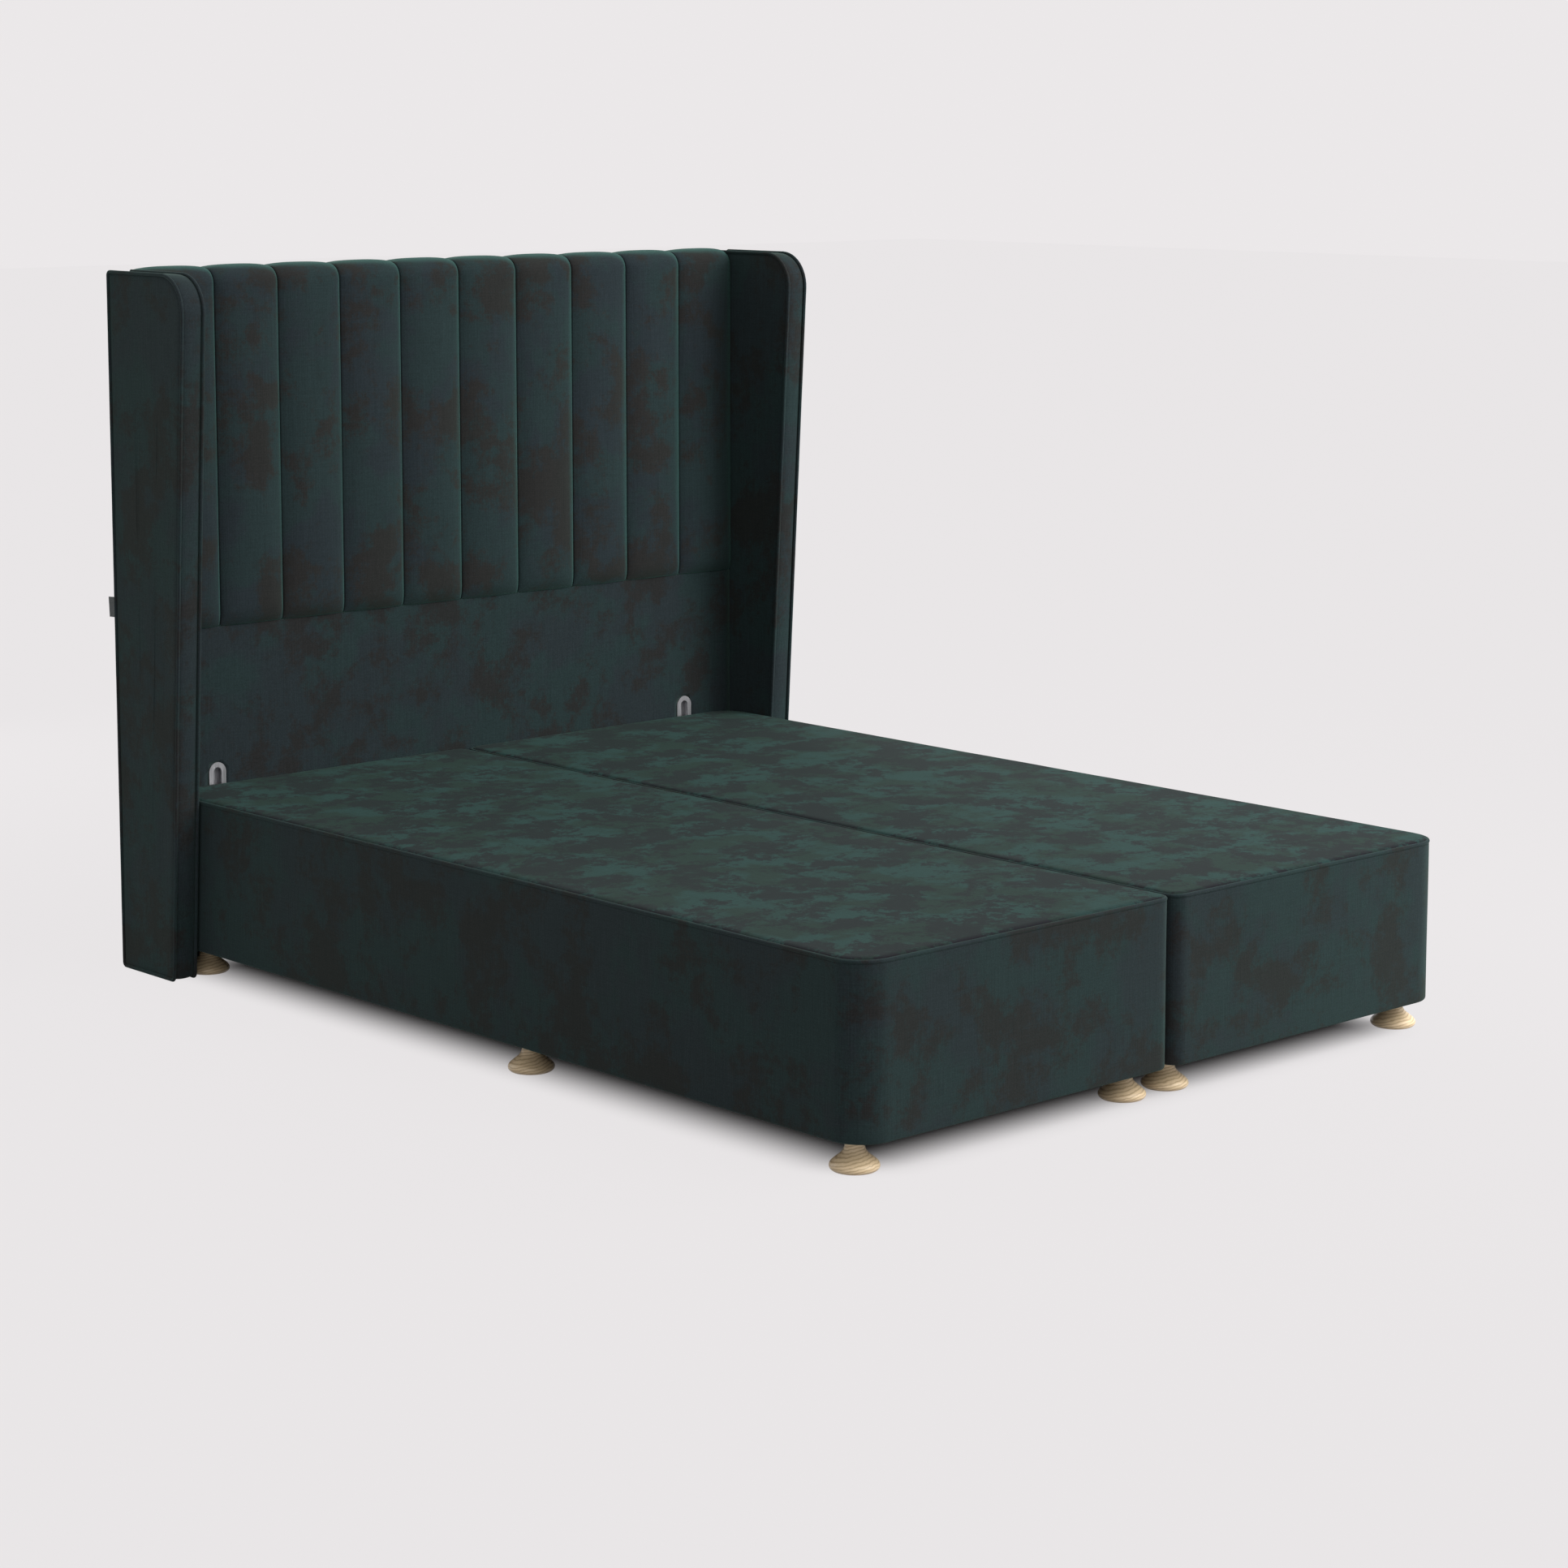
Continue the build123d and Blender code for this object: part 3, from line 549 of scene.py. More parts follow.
def onCircle(x, y, radius, angle):
    return Vector((x + radius * math.cos(angle), y + radius * math.sin(angle)))


def cornersOf(low, high):
    return (low[0], low[1]), (high[0], low[1]), (high[0], high[1]), (low[0], high[1])


def roundedOutline(low, high, radii, step):
    # Points and outward normals round a rectangle; radii start at the low x, low y corner
    centres = []
    for index, ((cx, cy), r) in enumerate(zip(cornersOf(low, high), radii)):
        x, y = cx + (r if cx == low[0] else -r), cy + (r if cy == low[1] else -r)
        centres.append((x, y, r, math.radians(180 + 90 * index)))
    points = []
    for index, (cx, cy, r, start) in enumerate(centres):
        count = max(6, int(r * math.pi / 2 / (step * 0.6)))
        for k in range(count + 1):
            angle = start + math.pi / 2 * k / count
            points.append((onCircle(cx, cy, r, angle), onCircle(0, 0, 1, angle)))
        here, there = points[-1][0], onCircle(*centres[(index + 1) % 4])
        count = max(2, int((there - here).length / step))
        for k in range(1, count):
            points.append((here.lerp(there, k / count), points[-1][1].copy()))
    return points


def loopFaces(rows, columns, closedRows=False, closedColumns=True):
    faces = []
    for r in range(rows if closedRows else rows - 1):
        here, there = r * columns, (r + 1) % rows * columns
        for c in range(columns if closedColumns else columns - 1):
            j = (c + 1) % columns
            faces.append((here + c, here + j, there + j, there + c))
    return faces


def closeBlock(verts, columns, rows, toBack):
    # Faces of a grid of verts, of the sides round its rim and of the flat back; adds the back's verts
    faces = loopFaces(rows, columns, closedColumns=False)
    corner = (rows - 1) * columns
    ring = list(range(columns)) + [r * columns + columns - 1 for r in range(1, rows)]
    ring += [corner + c for c in range(columns - 2, -1, -1)]
    ring += [r * columns for r in range(rows - 2, 0, -1)]
    count, size = len(verts), len(ring)
    verts += [toBack(*verts[index]) for index in ring]
    for k in range(size):
        j = (k + 1) % size
        faces.append((ring[j], ring[k], count + k, count + j))
    faces.append(tuple(count + k for k in range(size)))
    return faces


def ripple(point, scale, seed):
    return noise.noise(Vector(point) * scale + Vector((seed, seed * 0.7, -seed)))


setCamera()
setLights()
setWorld()
setFloor()


# Trees that grow pieces on a path or on points

def newCarrierTree(name, inputs):
    inputs = {"Geometry": "Geometry", **inputs, "Material": "Material"}
    return newGroup(name, "Geometry", inputs, {"Geometry": "Geometry"})


def dressOutput(tree, geometry, given, wanted):
    real = addNode(tree, "GeometryNodeRealizeInstances", {"Geometry": geometry})
    inputs = {"Geometry": real, "Material": given["Material"]}
    feed(tree, wanted["Geometry"], addNode(tree, "GeometryNodeSetMaterial", inputs))


def sweepRound(tree, curve, radius, sides):
    circle = addNode(tree, "GeometryNodeCurvePrimitiveCircle", {"Resolution": sides, "Radius": radius})
    inputs = {"Curve": curve, "Profile Curve": circle, "Fill Caps": True}
    return addNode(tree, "GeometryNodeCurveToMesh", inputs)


def growPiece(name, data, tree, settings):
    carrier = addObject(name + "Carrier", data)
    modifier = addModifier(carrier, "grown", "NODES", node_group=tree)
    for item in tree.interface.items_tree:
        if item.in_out == "INPUT" and item.name in settings:
            modifier[item.identifier] = settings[item.name]
    return plainPiece(name, carrier)


def makePath(name, paths):
    # paths: (points, closed) pairs
    curve = bpy.data.curves.new(name + "Path", "CURVE")
    curve.dimensions = "3D"
    for points, closed in paths:
        spline = curve.splines.new("POLY")
        spline.points.add(len(points) - 1)
        for target, point in zip(spline.points, points):
            target.co = (*point, 1.0)
        spline.use_cyclic_u = closed
    return curve


# Base upholstery

base = {
    "outerRadius": 0.065, "splitRadius": 0.030,
    "clothThickness": 0.0018, "turnUnder": 0.025, "hemRadius": 0.005, "hemSteps": 5,
    # offset and rise from the border's top edge, over its lip, and inside it
    "lip": ((-0.0022, 0.0012), (-0.0009, 0.0006), (-0.0001, -0.0010)),
    "lipDepth": 0.003, "lipBack": 0.004, "lipInside": (-0.0036, -0.0010),
    "rows": 22, "step": 0.012,
    "waves": ((0.0005, 1.0, 6.0, 3.0), (0.0002, 0.4, 24.0, 9.0)),  # height, share of z, scale and seed
    "pipingRadius": 0.0036, "pipingDrop": 0.0012, "pipingInset": 0.0025,
    "topStep": 0.018, "topRoll": 0.012, "topDrop": 0.0062, "topCrown": 0.0025, "topSink": 0.0012,
    "topWaves": ((0.0006, 5.0, 5.0), (0.0003, 14.0, 8.0)),  # height, scale and seed
}


def halfRadii(side, inset=0.0, least=0.0):
    # Corner radii of a base, set in; the split side is towards x = 0
    outer, split = (max(base[key] - inset, least) for key in ("outerRadius", "splitRadius"))
    return (outer, split, split, outer) if side == "left" else (split, outer, outer, split)


def insetLoop(low, high, inset, radii, step, z):
    # A closed path for makePath, inset from the box
    inner = [v + inset for v in low[:2]], [v - inset for v in high[:2]]
    return [(p.x, p.y, z) for p, normal in roundedOutline(*inner, radii, step)], True


def borderProfile(bottom, top):
    # Over the lip, down the outside, round the hem, under the board and back up inside
    t, hem, turn = base["clothThickness"], base["hemRadius"], base["turnUnder"]
    profile = [(offset, top + rise) for offset, rise in base["lip"]]
    straight, rows, steps = top - base["lipDepth"], base["rows"], base["hemSteps"]
    for k in range(rows + 1):
        profile.append((0.0, straight - (straight - bottom - hem) * k / rows))
    for k in range(1, steps + 1):
        angle = math.pi / 2 * k / steps
        profile.append((-hem * (1 - math.cos(angle)), bottom + hem * (1 - math.sin(angle))))
    profile += [(-turn, bottom), (-turn, bottom + t), (-hem, bottom + t), (-t, bottom + hem)]
    offset, rise = base["lipInside"]
    return profile + [(-t, top - base["lipBack"]), (offset, top + rise)]


def makeBorder(side):
    low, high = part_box(f"border_{side}")
    outline = roundedOutline(low, high, halfRadii(side), base["step"])
    bottom, top = low[2], high[2]
    profile = borderProfile(bottom, top)
    outerRows = range(2, base["rows"] + 5)
    verts = []
    for index, (offset, z) in enumerate(profile):
        for point, normal in outline:
            swell = 0.0
            for height, share, scale, seed in base["waves"] if index in outerRows else ():
                swell += height * ripple((point.x, point.y, z * share), scale, seed)
            verts.append((*(point + normal * (offset + swell)), z))
    faces = loopFaces(len(profile), len(outline), closedRows=True)
    piece = makePiece(f"borderCloth_{side}", verts, faces, velvet, "bases")
    tidyNormals(piece)
    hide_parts(f"border_{side}")


def gridLines(low, high, lowRadius, highRadius, step):
    # Fine lines in the rolled edges and rounded corners, even ones between
    edge, fine = [0.0, 0.0012, 0.0028, 0.005, 0.008, 0.012], 0.006
    lines = [low + e for e in edge] + [high - e for e in edge]
    stops = (low + edge[-1], low + lowRadius, high - highRadius, high - edge[-1])
    for a, b, gap in zip(stops, stops[1:], (fine, step, fine)):
        if b - a < 1e-6:
            continue
        lines += spread(a, b, max(1, round((b - a) / gap)))
    result = []
    for value in sorted(lines):
        if not result or value - result[-1] > 1e-5:
            result.append(value)
    return result


def roundCorner(x, y, low, high, radii):
    # Carries a point of the rectangle's grid into the rounded outline
    for (cx, cy), r in zip(cornersOf(low, high), radii):
        sx, sy = (1 if cx == high[0] else -1), (1 if cy == high[1] else -1)
        ox, oy = cx - sx * r, cy - sy * r
        a, b = (x - ox) * sx / r, (y - oy) * sy / r
        if a > 0 and b > 0:
            a2, b2 = a * math.sqrt(1 - b * b / 2), b * math.sqrt(1 - a * a / 2)
            return ox + sx * a2 * r, oy + sy * b2 * r, r * (1 - math.hypot(a2, b2))
    return x, y, min(x - low[0], high[0] - x, y - low[1], high[1] - y)


def makeTopPanel(side):
    low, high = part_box(f"top_panel_{side}")
    radii = halfRadii(side, base["pipingInset"])
    xs = gridLines(low[0], high[0], radii[0], radii[1], base["topStep"])
    ys = gridLines(low[1], high[1], radii[0], radii[2], base["topStep"])
    verts = []
    for y in ys:
        for x in xs:
            px, py, inward = roundCorner(x, y, low, high, radii)
            fall = clampShare(1 - inward / base["topRoll"])
            u = (x - low[0]) / (high[0] - low[0])
            v = (y - low[1]) / (high[1] - low[1])
            crown = base["topCrown"] * (1 - (2 * u - 1) ** 4) * (1 - (2 * v - 1) ** 8)
            here = (px, py, 0.0)
            waves = sum(size * ripple(here, scale, seed) for size, scale, seed in base["topWaves"])
            drop = base["topDrop"] * (1 - math.sqrt(1 - fall * fall))
            verts.append((px, py, high[2] - base["topSink"] - drop + (crown + waves) * (1 - fall)))
    faces = closeBlock(verts, len(xs), len(ys), lambda x, y, z: (x, y, low[2]))
    # the top pad takes the top's own velvet, whose colours hold a painted sheen
    piece = makePiece(f"topPad_{side}", verts, faces, topVelvet, "bases")
    tidyNormals(piece)
    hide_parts(f"top_panel_{side}")


piping = {"sides": 16, "unevenShare": 0.12, "bumps": {"Scale": 40.0, "Detail": 1.0}}


def makePipingTree():
    # Lays a round, slightly uneven cord along a curve
    inputs = {"Cord Radius": "Float", "Sides": "Int", "Unevenness": "Float"}
    tree, given, wanted = newCarrierTree("pipingCord", inputs)
    tube = sweepRound(tree, given["Geometry"], given["Cord Radius"], given["Sides"])
    bumps = addNode(tree, "ShaderNodeTexNoise", piping["bumps"])
    amount = mathNode(tree, "MULTIPLY", mathNode(tree, "SUBTRACT", bumps, 0.5), given["Unevenness"])
    push = vectorNode(tree, "SCALE", addNode(tree, "GeometryNodeInputNormal"), amount)
    moved = addNode(tree, "GeometryNodeSetPosition", {"Geometry": tube, "Offset": push})
    dressOutput(tree, moved, given, wanted)
    return tree


def layCords(name, paths, radius, body):
    settings = {"Cord Radius": radius, "Sides": piping["sides"], "Material": velvet}
    settings["Unevenness"] = radius * piping["unevenShare"]
    piece = growPiece(name, makePath(name, paths), pipingTree, settings)
    tidyNormals(piece)
    finishPiece(piece, velvet, body)
    return piece


def makeBasePiping(side):
    low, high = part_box(f"base_piping_{side}")
    z = (low[2] + high[2]) / 2 - base["pipingDrop"]
    radii = halfRadii(side, base["pipingInset"])
    path = insetLoop(low, high, (high[2] - low[2]) / 2, radii, base["step"], z)
    piece = layCords(f"basePiping_{side}", [path], base["pipingRadius"], "bases")
    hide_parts(f"base_piping_{side}")


print("base upholstery")
pipingTree = makePipingTree()
for side in sideSigns:
    makeBorder(side)
    makeTopPanel(side)
    makeBasePiping(side)


# Wings

wing = {
    "topRadius": 0.072, "cornerRadius": 0.008, "leastRadius": 0.001,
    "topSteps": 12, "cornerSteps": 5, "step": 0.014,
    "depthAtFloor": 0.181, "depthAtTop": 0.264,
    "pipingRadius": 0.0034, "pipingInset": 0.0009, "pipingStart": 0.03,
    "pillow": 0.0030, "pillowReach": 0.016,
    "ripple": 0.0012, "rippleSink": 0.35, "wave": (7.0, 2.0),  # scale and seed, as below
    "calmStart": 0.006, "calmReach": 0.03,
    "bandDip": 0.0050, "bandRows": 16, "bandEdge": 0.0034,
    # inset and place across, round the edge between a face and the band
    "edges": ((0.0030, 0.0022), (0.0026, 0.0028)),
    "insets": (0.0032, 0.0042, 0.006, 0.009, 0.013, 0.019, 0.028, 0.040, 0.054, 0.070, 0.084),
}


def wingOutline(inset, low, high):
    # Side outline in (y, z), with the same count of points at every inset:
    # up the leaning front, round, over the top, down the back and along the bottom
    lean = (wing["depthAtTop"] - wing["depthAtFloor"]) / high[2]

    def cornersAt(inward):
        bottom, top, back = low[2] + inward, high[2] - inward, high[1] - inward
        front = high[1] - wing["depthAtFloor"] + inward
        small = max(wing["cornerRadius"] - inward, wing["leastRadius"])
        return [
            (Vector((front - lean * bottom, bottom)), small),
            (Vector((front - lean * top, top)), max(wing["topRadius"] - inward, wing["leastRadius"])),
            (Vector((back, top)), small),
            (Vector((back, bottom)), small),
        ]

    outer, corners = cornersAt(0.0), cornersAt(inset)
    arcs = []
    for index, (corner, radius) in enumerate(corners):
        before = (corners[index - 1][0] - corner).normalized()
        after = (corners[(index + 1) % 4][0] - corner).normalized()
        half = before.angle(after) / 2
        reach = radius / math.tan(half)
        centre = corner + (before + after).normalized() * (radius / math.sin(half))
        first, last = corner + before * reach, corner + after * reach
        start, sweep = math.atan2(first.y - centre.y, first.x - centre.x), math.pi - 2 * half
        count = wing["topSteps"] if index == 1 else wing["cornerSteps"]
        angles = [start - sweep * k / count for k in range(count + 1)]
        arcs.append(([onCircle(*centre, radius, angle) for angle in angles], first, last))
    points = []
    for index, (arc, first, last) in enumerate(arcs):
        following = (index + 1) % 4
        count = max(3, int((outer[following][0] - outer[index][0]).length / wing["step"]))
        points += arc + [last.lerp(arcs[following][1], k / count) for k in range(1, count)]
    return points


def wingRings(width):
    # (inset, place across) of each ring: over the inner face, the band and the outer face
    pillow, reach = wing["pillow"], wing["pillowReach"]
    sides = [(inset, pillow * max(0.0, 1 - inset / reach) ** 2) for inset in wing["insets"]]
    rings = sides[::-1] + list(wing["edges"])
    rows, edge = wing["bandRows"], wing["bandEdge"]
    for k in range(rows + 1):
        share = (1 - math.cos(math.pi * k / rows)) / 2
        inset = wing["bandDip"] * (1 - (4 * share * (1 - share)) ** 0.4)
        rings.append((inset, edge + (width - 2 * edge) * share))
    rings += [(inset, width - across) for inset, across in wing["edges"][::-1]]
    return rings + [(inset, width - across) for inset, across in sides]


def makeWing(side):
    sign = sideSigns[side]
    low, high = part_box(f"wing_cover_{side}")
    innerX, outerX = (high[0], low[0]) if sign < 0 else (low[0], high[0])
    width = abs(outerX - innerX)
    rings = wingRings(width)
    verts = []
    for inset, across in rings:
        calm = clampShare((inset - wing["calmStart"]) / wing["calmReach"])
        outward = -1 if across < width / 2 else 1
        for point in wingOutline(inset, low, high):
            wave = ripple((sign, point.x, point.y), *wing["wave"]) - wing["rippleSink"]
            swell = calm * wing["ripple"] * wave
            verts.append((innerX + sign * (across + outward * swell), point.x, point.y))
    count = len(verts) // len(rings)
    faces = loopFaces(len(rings), count)
    faces += [tuple(range(count)), tuple(range(len(verts) - count, len(verts)))]
    piece = makePiece(f"wingCloth_{side}", verts, faces, velvet, "headboard")
    tidyNormals(piece)
    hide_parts(f"wing_cover_{side}")

    inset = wing["pipingInset"]
    loop = wingOutline(inset, low, high)
    outerLoop = [(outerX - sign * inset, p.x, p.y) for p in loop]
    bottom = low[2] + inset
    topBack = high[1] - wing["cornerRadius"]
    run = [Vector((loop[0].x + wing["pipingStart"], bottom))]
    for p in loop:
        if p.y > bottom + 1e-4 and p.x > topBack:
            break
        run.append(p)
    innerRun = [(innerX + sign * inset, p.x, p.y) for p in run]
    paths = [(innerRun, False), (outerLoop, True)]
    cord = layCords(f"wingPiping_{side}", paths, wing["pipingRadius"], "headboard")
    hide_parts(f"wing_piping_{side}")


print("wings")
for side in sideSigns:
    makeWing(side)


# Headboard panels

pad = {
    "channels": 10, "columns": 20, "faceRows": 78, "roofRows": 5, "arcSteps": (5, 8, 4),
    "crown": 0.014, "topCrown": 0.008, "rollPower": 3.0, "rollShape": 0.66, "fullness": 0.86,
    "frontRadius": 0.030, "bottomRadius": 0.003, "backRadius": 0.008,
    "bottomTuck": 0.0048, "tuckHeight": 0.032, "toeReach": 0.010, "footRise": 0.05,
    "seamHalf": 0.0013, "seamDepth": 0.0100,
    "pucker": 0.0006, "puckerDraw": 1.5, "wave": (12.0, 4.0),
    "pressure": 2.2, "frames": 14, "cap": 0.004,
}
padCloth = {
    "quality": 6, "mass": 0.3,
    "tension_stiffness": 25, "compression_stiffness": 25, "shear_stiffness": 10,
    "bending_stiffness": 0.6,
    "use_pressure": True, "uniform_pressure_force": pad["pressure"],
    "vertex_group_mass": "sewn", "pin_stiffness": 1.0,
}


def quarterTurn(y, z, radius, steps, outward):
    # Points round a centre, each with its outward direction
    angles = spread(0.0, math.pi / 2, steps)
    ways = [outward(math.sin(angle), math.cos(angle)) for angle in angles]
    return [(y + radius * ny, z + radius * nz, ny, nz) for ny, nz in ways]


def padRoute(low, high, valleyFront, valleyTop):
    # Side line of a seam: floor, toe, face, brow, roof, nape and drop, as (y, z, outward y, outward z)
    rb, rf, rn = pad["bottomRadius"], pad["frontRadius"], pad["backRadius"]
    toeSteps, browSteps, napeSteps = pad["arcSteps"]
    bottom, back = low[2], high[1]
    toeY, toeZ = valleyFront + rb, bottom + rb
    browY, browZ = valleyFront + rf, valleyTop - rf
    front = [(toeY + pad["toeReach"], bottom, 0.0, -1.0)]
    front += quarterTurn(toeY, toeZ, rb, toeSteps, lambda s, c: (-s, -c))
    front += [(valleyFront, z, -1.0, 0.0) for z in spread(toeZ, browZ, pad["faceRows"])[1:-1]]
    route = []
    for y, z, ny, nz in front:
        rise = min(1.0, (z - bottom) / pad["tuckHeight"])
        route.append((y + pad["bottomTuck"] * (1 - rise) ** 2, z, ny, nz))
    route += quarterTurn(browY, browZ, rf, browSteps, lambda s, c: (-c, s))
    route += [(y, valleyTop, 0.0, 1.0) for y in spread(browY, back - rn, pad["roofRows"])[1:-1]]
    return route + quarterTurn(back - rn, valleyTop - rn, rn, napeSteps, lambda s, c: (s, c))


def padColumns(low, high):
    # (x, share of the way to the seam, on a seam) across the channels, closer near the seams
    width, half, columns = (high - low) / pad["channels"], pad["seamHalf"], pad["columns"]
    xs = []
    for channel in range(pad["channels"]):
        start = low + width * channel
        xs.append((start, 1.0, True))
        for k in range(columns + 1):
            share = 0.5 - 0.5 * math.cos(math.pi * k / columns)
            xs.append((start + half + (width - 2 * half) * share, abs(2 * share - 1), False))
    return xs + [(high, 1.0, True)]


def simulatePad(piece, pinned):
    group = piece.vertex_groups.new(name=padCloth["vertex_group_mass"])
    group.add(pinned, 1.0, "REPLACE")
    cloth = piece.modifiers.new("pressure", "CLOTH")
    setAll(cloth.settings, padCloth)
    cloth.settings.effector_weights.gravity = 0.0
    cloth.collision_settings.use_collision = False
    scene = bpy.context.scene
    for step in range(1, pad["frames"] + 1):
        scene.frame_set(step)
    graph = bpy.context.evaluated_depsgraph_get()
    settled = [v.co.copy() for v in piece.evaluated_get(graph).data.vertices]
    piece.modifiers.remove(cloth)
    piece.vertex_groups.remove(group)
    scene.frame_set(1)
    for vertex, goal in zip(piece.data.vertices, settled):
        move = goal - vertex.co
        if move.length > pad["cap"]:
            move *= pad["cap"] / move.length
        vertex.co += move


def makeChannelPad():
    low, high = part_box("channel_pad")
    bottom, crownDepth, topDepth = low[2], pad["crown"], pad["topCrown"]
    valleyFront, valleyTop = low[1] + crownDepth, high[2] - topDepth
    route = padRoute(low, high, valleyFront, valleyTop)
    xs = padColumns(low[0], high[0])
    lastFull = len(route) - 2
    backY, browY = route[-1][0], valleyFront + pad["frontRadius"]
    verts, pinned = [], []
    for row, (y, z, ny, nz) in enumerate(route):
        rise = clampShare((z - bottom) / pad["footRise"])
        fade = math.sqrt(1 - (1 - rise) ** 2)
        if ny > 0 or (nz > 0.99 and y > browY + 0.001):
            fade *= math.sqrt(max(0.0, 1 - (1 - clampShare((backY - y) / (backY - browY))) ** 3))
        depth = crownDepth * abs(ny) ** 2 + topDepth * abs(nz) ** 2 if nz > 0 else crownDepth * abs(ny)
        for x, u, seam in xs:
            crown = (1 - u ** pad["rollPower"]) ** pad["rollShape"]
            out = depth * crown * fade * pad["fullness"]
            out += pad["pucker"] * ripple((x * pad["puckerDraw"], z, y), *pad["wave"]) * crown
            if seam and low[0] < x < high[0] and 0 < row < lastFull:
                out -= pad["seamDepth"]
            if u == 1.0 or row == 0 or row >= lastFull:
                pinned.append(len(verts))
            verts.append((x, y + ny * out, z + nz * out))
    faces = loopFaces(len(route), len(xs), closedColumns=False)
    piece = makePiece("channelPad", verts, faces, padVelvet, "headboard")
    simulatePad(piece, pinned)
    closePad(piece, low, high, len(route), len(xs))
    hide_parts("channel_pad")


def closePad(piece, low, high, rows, nx):
    # Back of the pad: down the rear edge, under the cap and down the board to the first row
    boardLow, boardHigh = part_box("headboard_front_board")
    boardY, boardTop = boardLow[1], boardHigh[2]
    work = bmesh.new()
    work.from_mesh(piece.data)
    work.verts.ensure_lookup_table()
    last = [work.verts[(rows - 1) * nx + c] for c in range(nx)]
    first = [work.verts[c] for c in range(nx)]
    rims = [[work.verts[r * nx + column] for r in range(rows)] for column in (0, nx - 1)]
    strips = [last]
    for y, z in ((high[1], boardTop), (boardY, boardTop), (boardY, low[2])):
        strips.append([work.verts.new((v.co.x, y, z)) for v in last])
    strips.append(first)
    for a, b in zip(strips, strips[1:]):
        for c in range(nx - 1):
            work.faces.new((a[c], a[c + 1], b[c + 1], b[c]))
    for column, rim in zip((0, nx - 1), rims):
        work.faces.new(rim + [strip[column] for strip in strips[1:-1]])
    saveMesh(work, piece.data)
    for polygon in piece.data.polygons:
        polygon.use_smooth = True


lower = {
    "columns": 90, "rows": 40, "inset": 0.0004,
    "edgeRadius": 0.0012, "edgeShares": (1.0, 0.7, 0.45, 0.25, 0.1, 0.0),
    "rippleHeight": 0.0006, "wave": (5.0, 12.0), "calmReach": 0.03,
    "pocketClearance": 0.0003, "pocketSteps": 24, "overrun": 0.01,
}


def makePockets(low, high):
    # One solid for each steel channel, with its half-round top and a little room round it
    mesh = bpy.data.meshes.new("pockets")
    work = bmesh.new()
    steps, over = lower["pocketSteps"], lower["overrun"]
    for side in sideSigns:
        bLow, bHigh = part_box(f"bracket_{side}")
        half = (bHigh[0] - bLow[0]) / 2 + lower["pocketClearance"]
        cx = (bLow[0] + bHigh[0]) / 2
        shoulder = bHigh[2] - (bHigh[0] - bLow[0]) / 2
        outline = [(cx - half, low[2] - over), (cx + half, low[2] - over)]
        outline += [onCircle(cx, shoulder, half, math.pi * k / steps) for k in range(steps + 1)]
        near = [work.verts.new((x, low[1] - over, z)) for x, z in outline]
        far = [work.verts.new((x, high[1] + over, z)) for x, z in outline]
        work.faces.new(near)
        work.faces.new(far)
        for k in range(len(outline)):
            j = (k + 1) % len(outline)
            work.faces.new((near[k], near[j], far[j], far[k]))
    saveMesh(work, mesh)
    return addObject("pockets", mesh)


def makeLowerPanel():
    low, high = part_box("lower_panel")
    r = lower["edgeRadius"]
    xs = spread(low[0], high[0], lower["columns"])
    zs = spread(low[2], high[2], lower["rows"])
    zs = sorted(set(zs[:-1] + [high[2] - r * s for s in lower["edgeShares"]]))
    verts = []
    for z in zs:
        roll = max(0.0, 1 - (high[2] - z) / r)
        back = r * (1 - math.sqrt(max(0.0, 1 - roll * roll)))
        calm = min(1.0, (high[2] - z) / lower["calmReach"])
        for x in xs:
            wave = lower["rippleHeight"] * ripple((x, 0.0, z), *lower["wave"]) * calm
            verts.append((x, low[1] + back + wave + lower["inset"], z))
    faces = closeBlock(verts, len(xs), len(zs), lambda x, y, z: (x, high[1], z))
    mesh = bpy.data.meshes.new("lowerBlock")
    mesh.from_pydata(verts, [], faces)
    block = addObject("lowerBlock", mesh)
    tidyNormals(block)

    cutter = makePockets(low, high)
    addModifier(block, "pockets", "BOOLEAN", operation="DIFFERENCE", object=cutter, solver="EXACT")
    piece = plainPiece("lowerPad", block)
    bpy.data.objects.remove(cutter)
    finishPiece(piece, velvet, "headboard")
    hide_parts("lower_panel")


back = {
    "columns": 60, "rows": 54, "thickness": 0.0012, "inset": 0.0004,
    "edge": 0.006, "edgeDip": 0.0008, "waveHeight": 0.0005, "wave": (4.0, 15.0),
    "lap": 0.0009, "turn": 0.0055,
}


def makeBackCover():
    low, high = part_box("headboard_back_cover")
    # The outermost row all round is turned in over the edge of the board
    lap, turn = back["lap"], back["turn"]
    xs = [low[0] - lap] + spread(low[0], high[0], back["columns"]) + [high[0] + lap]
    zs = [low[2] - lap] + spread(low[2], high[2], back["rows"]) + [high[2] + lap]
    verts = []
    for z in zs:
        for x in xs:
            inward = min(x - low[0], high[0] - x, z - low[2], high[2] - z)
            dip = back["edgeDip"] * max(0.0, 1 - inward / back["edge"])
            dip += back["waveHeight"] * ripple((x, 1.0, z), *back["wave"])
            if inward < -lap / 2:
                dip += turn
            verts.append((x, high[1] - back["inset"] - dip, z))
    size, thickness = (len(zs), len(xs)), back["thickness"]
    piece = makeSheet("backCloth", verts, *size, velvet, "headboard", "velvet", thickness)
    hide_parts("headboard_back_cover")


print("headboard panels")
makeChannelPad()
makeLowerPanel()
makeBackCover()


# Tape tab sewn into the back seam of the left wing, left bare

tab = {
    "height": 0.040, "reach": 0.016, "middle": 0.728, "thickness": 0.0012, "inset": 0.001,
    "rows": 6, "columns": 8,
    "way": (-0.25, 0.97),
    "curl": 0.0015, "curlTurns": (2.4, 0.2),  # along the tab and for each row
}


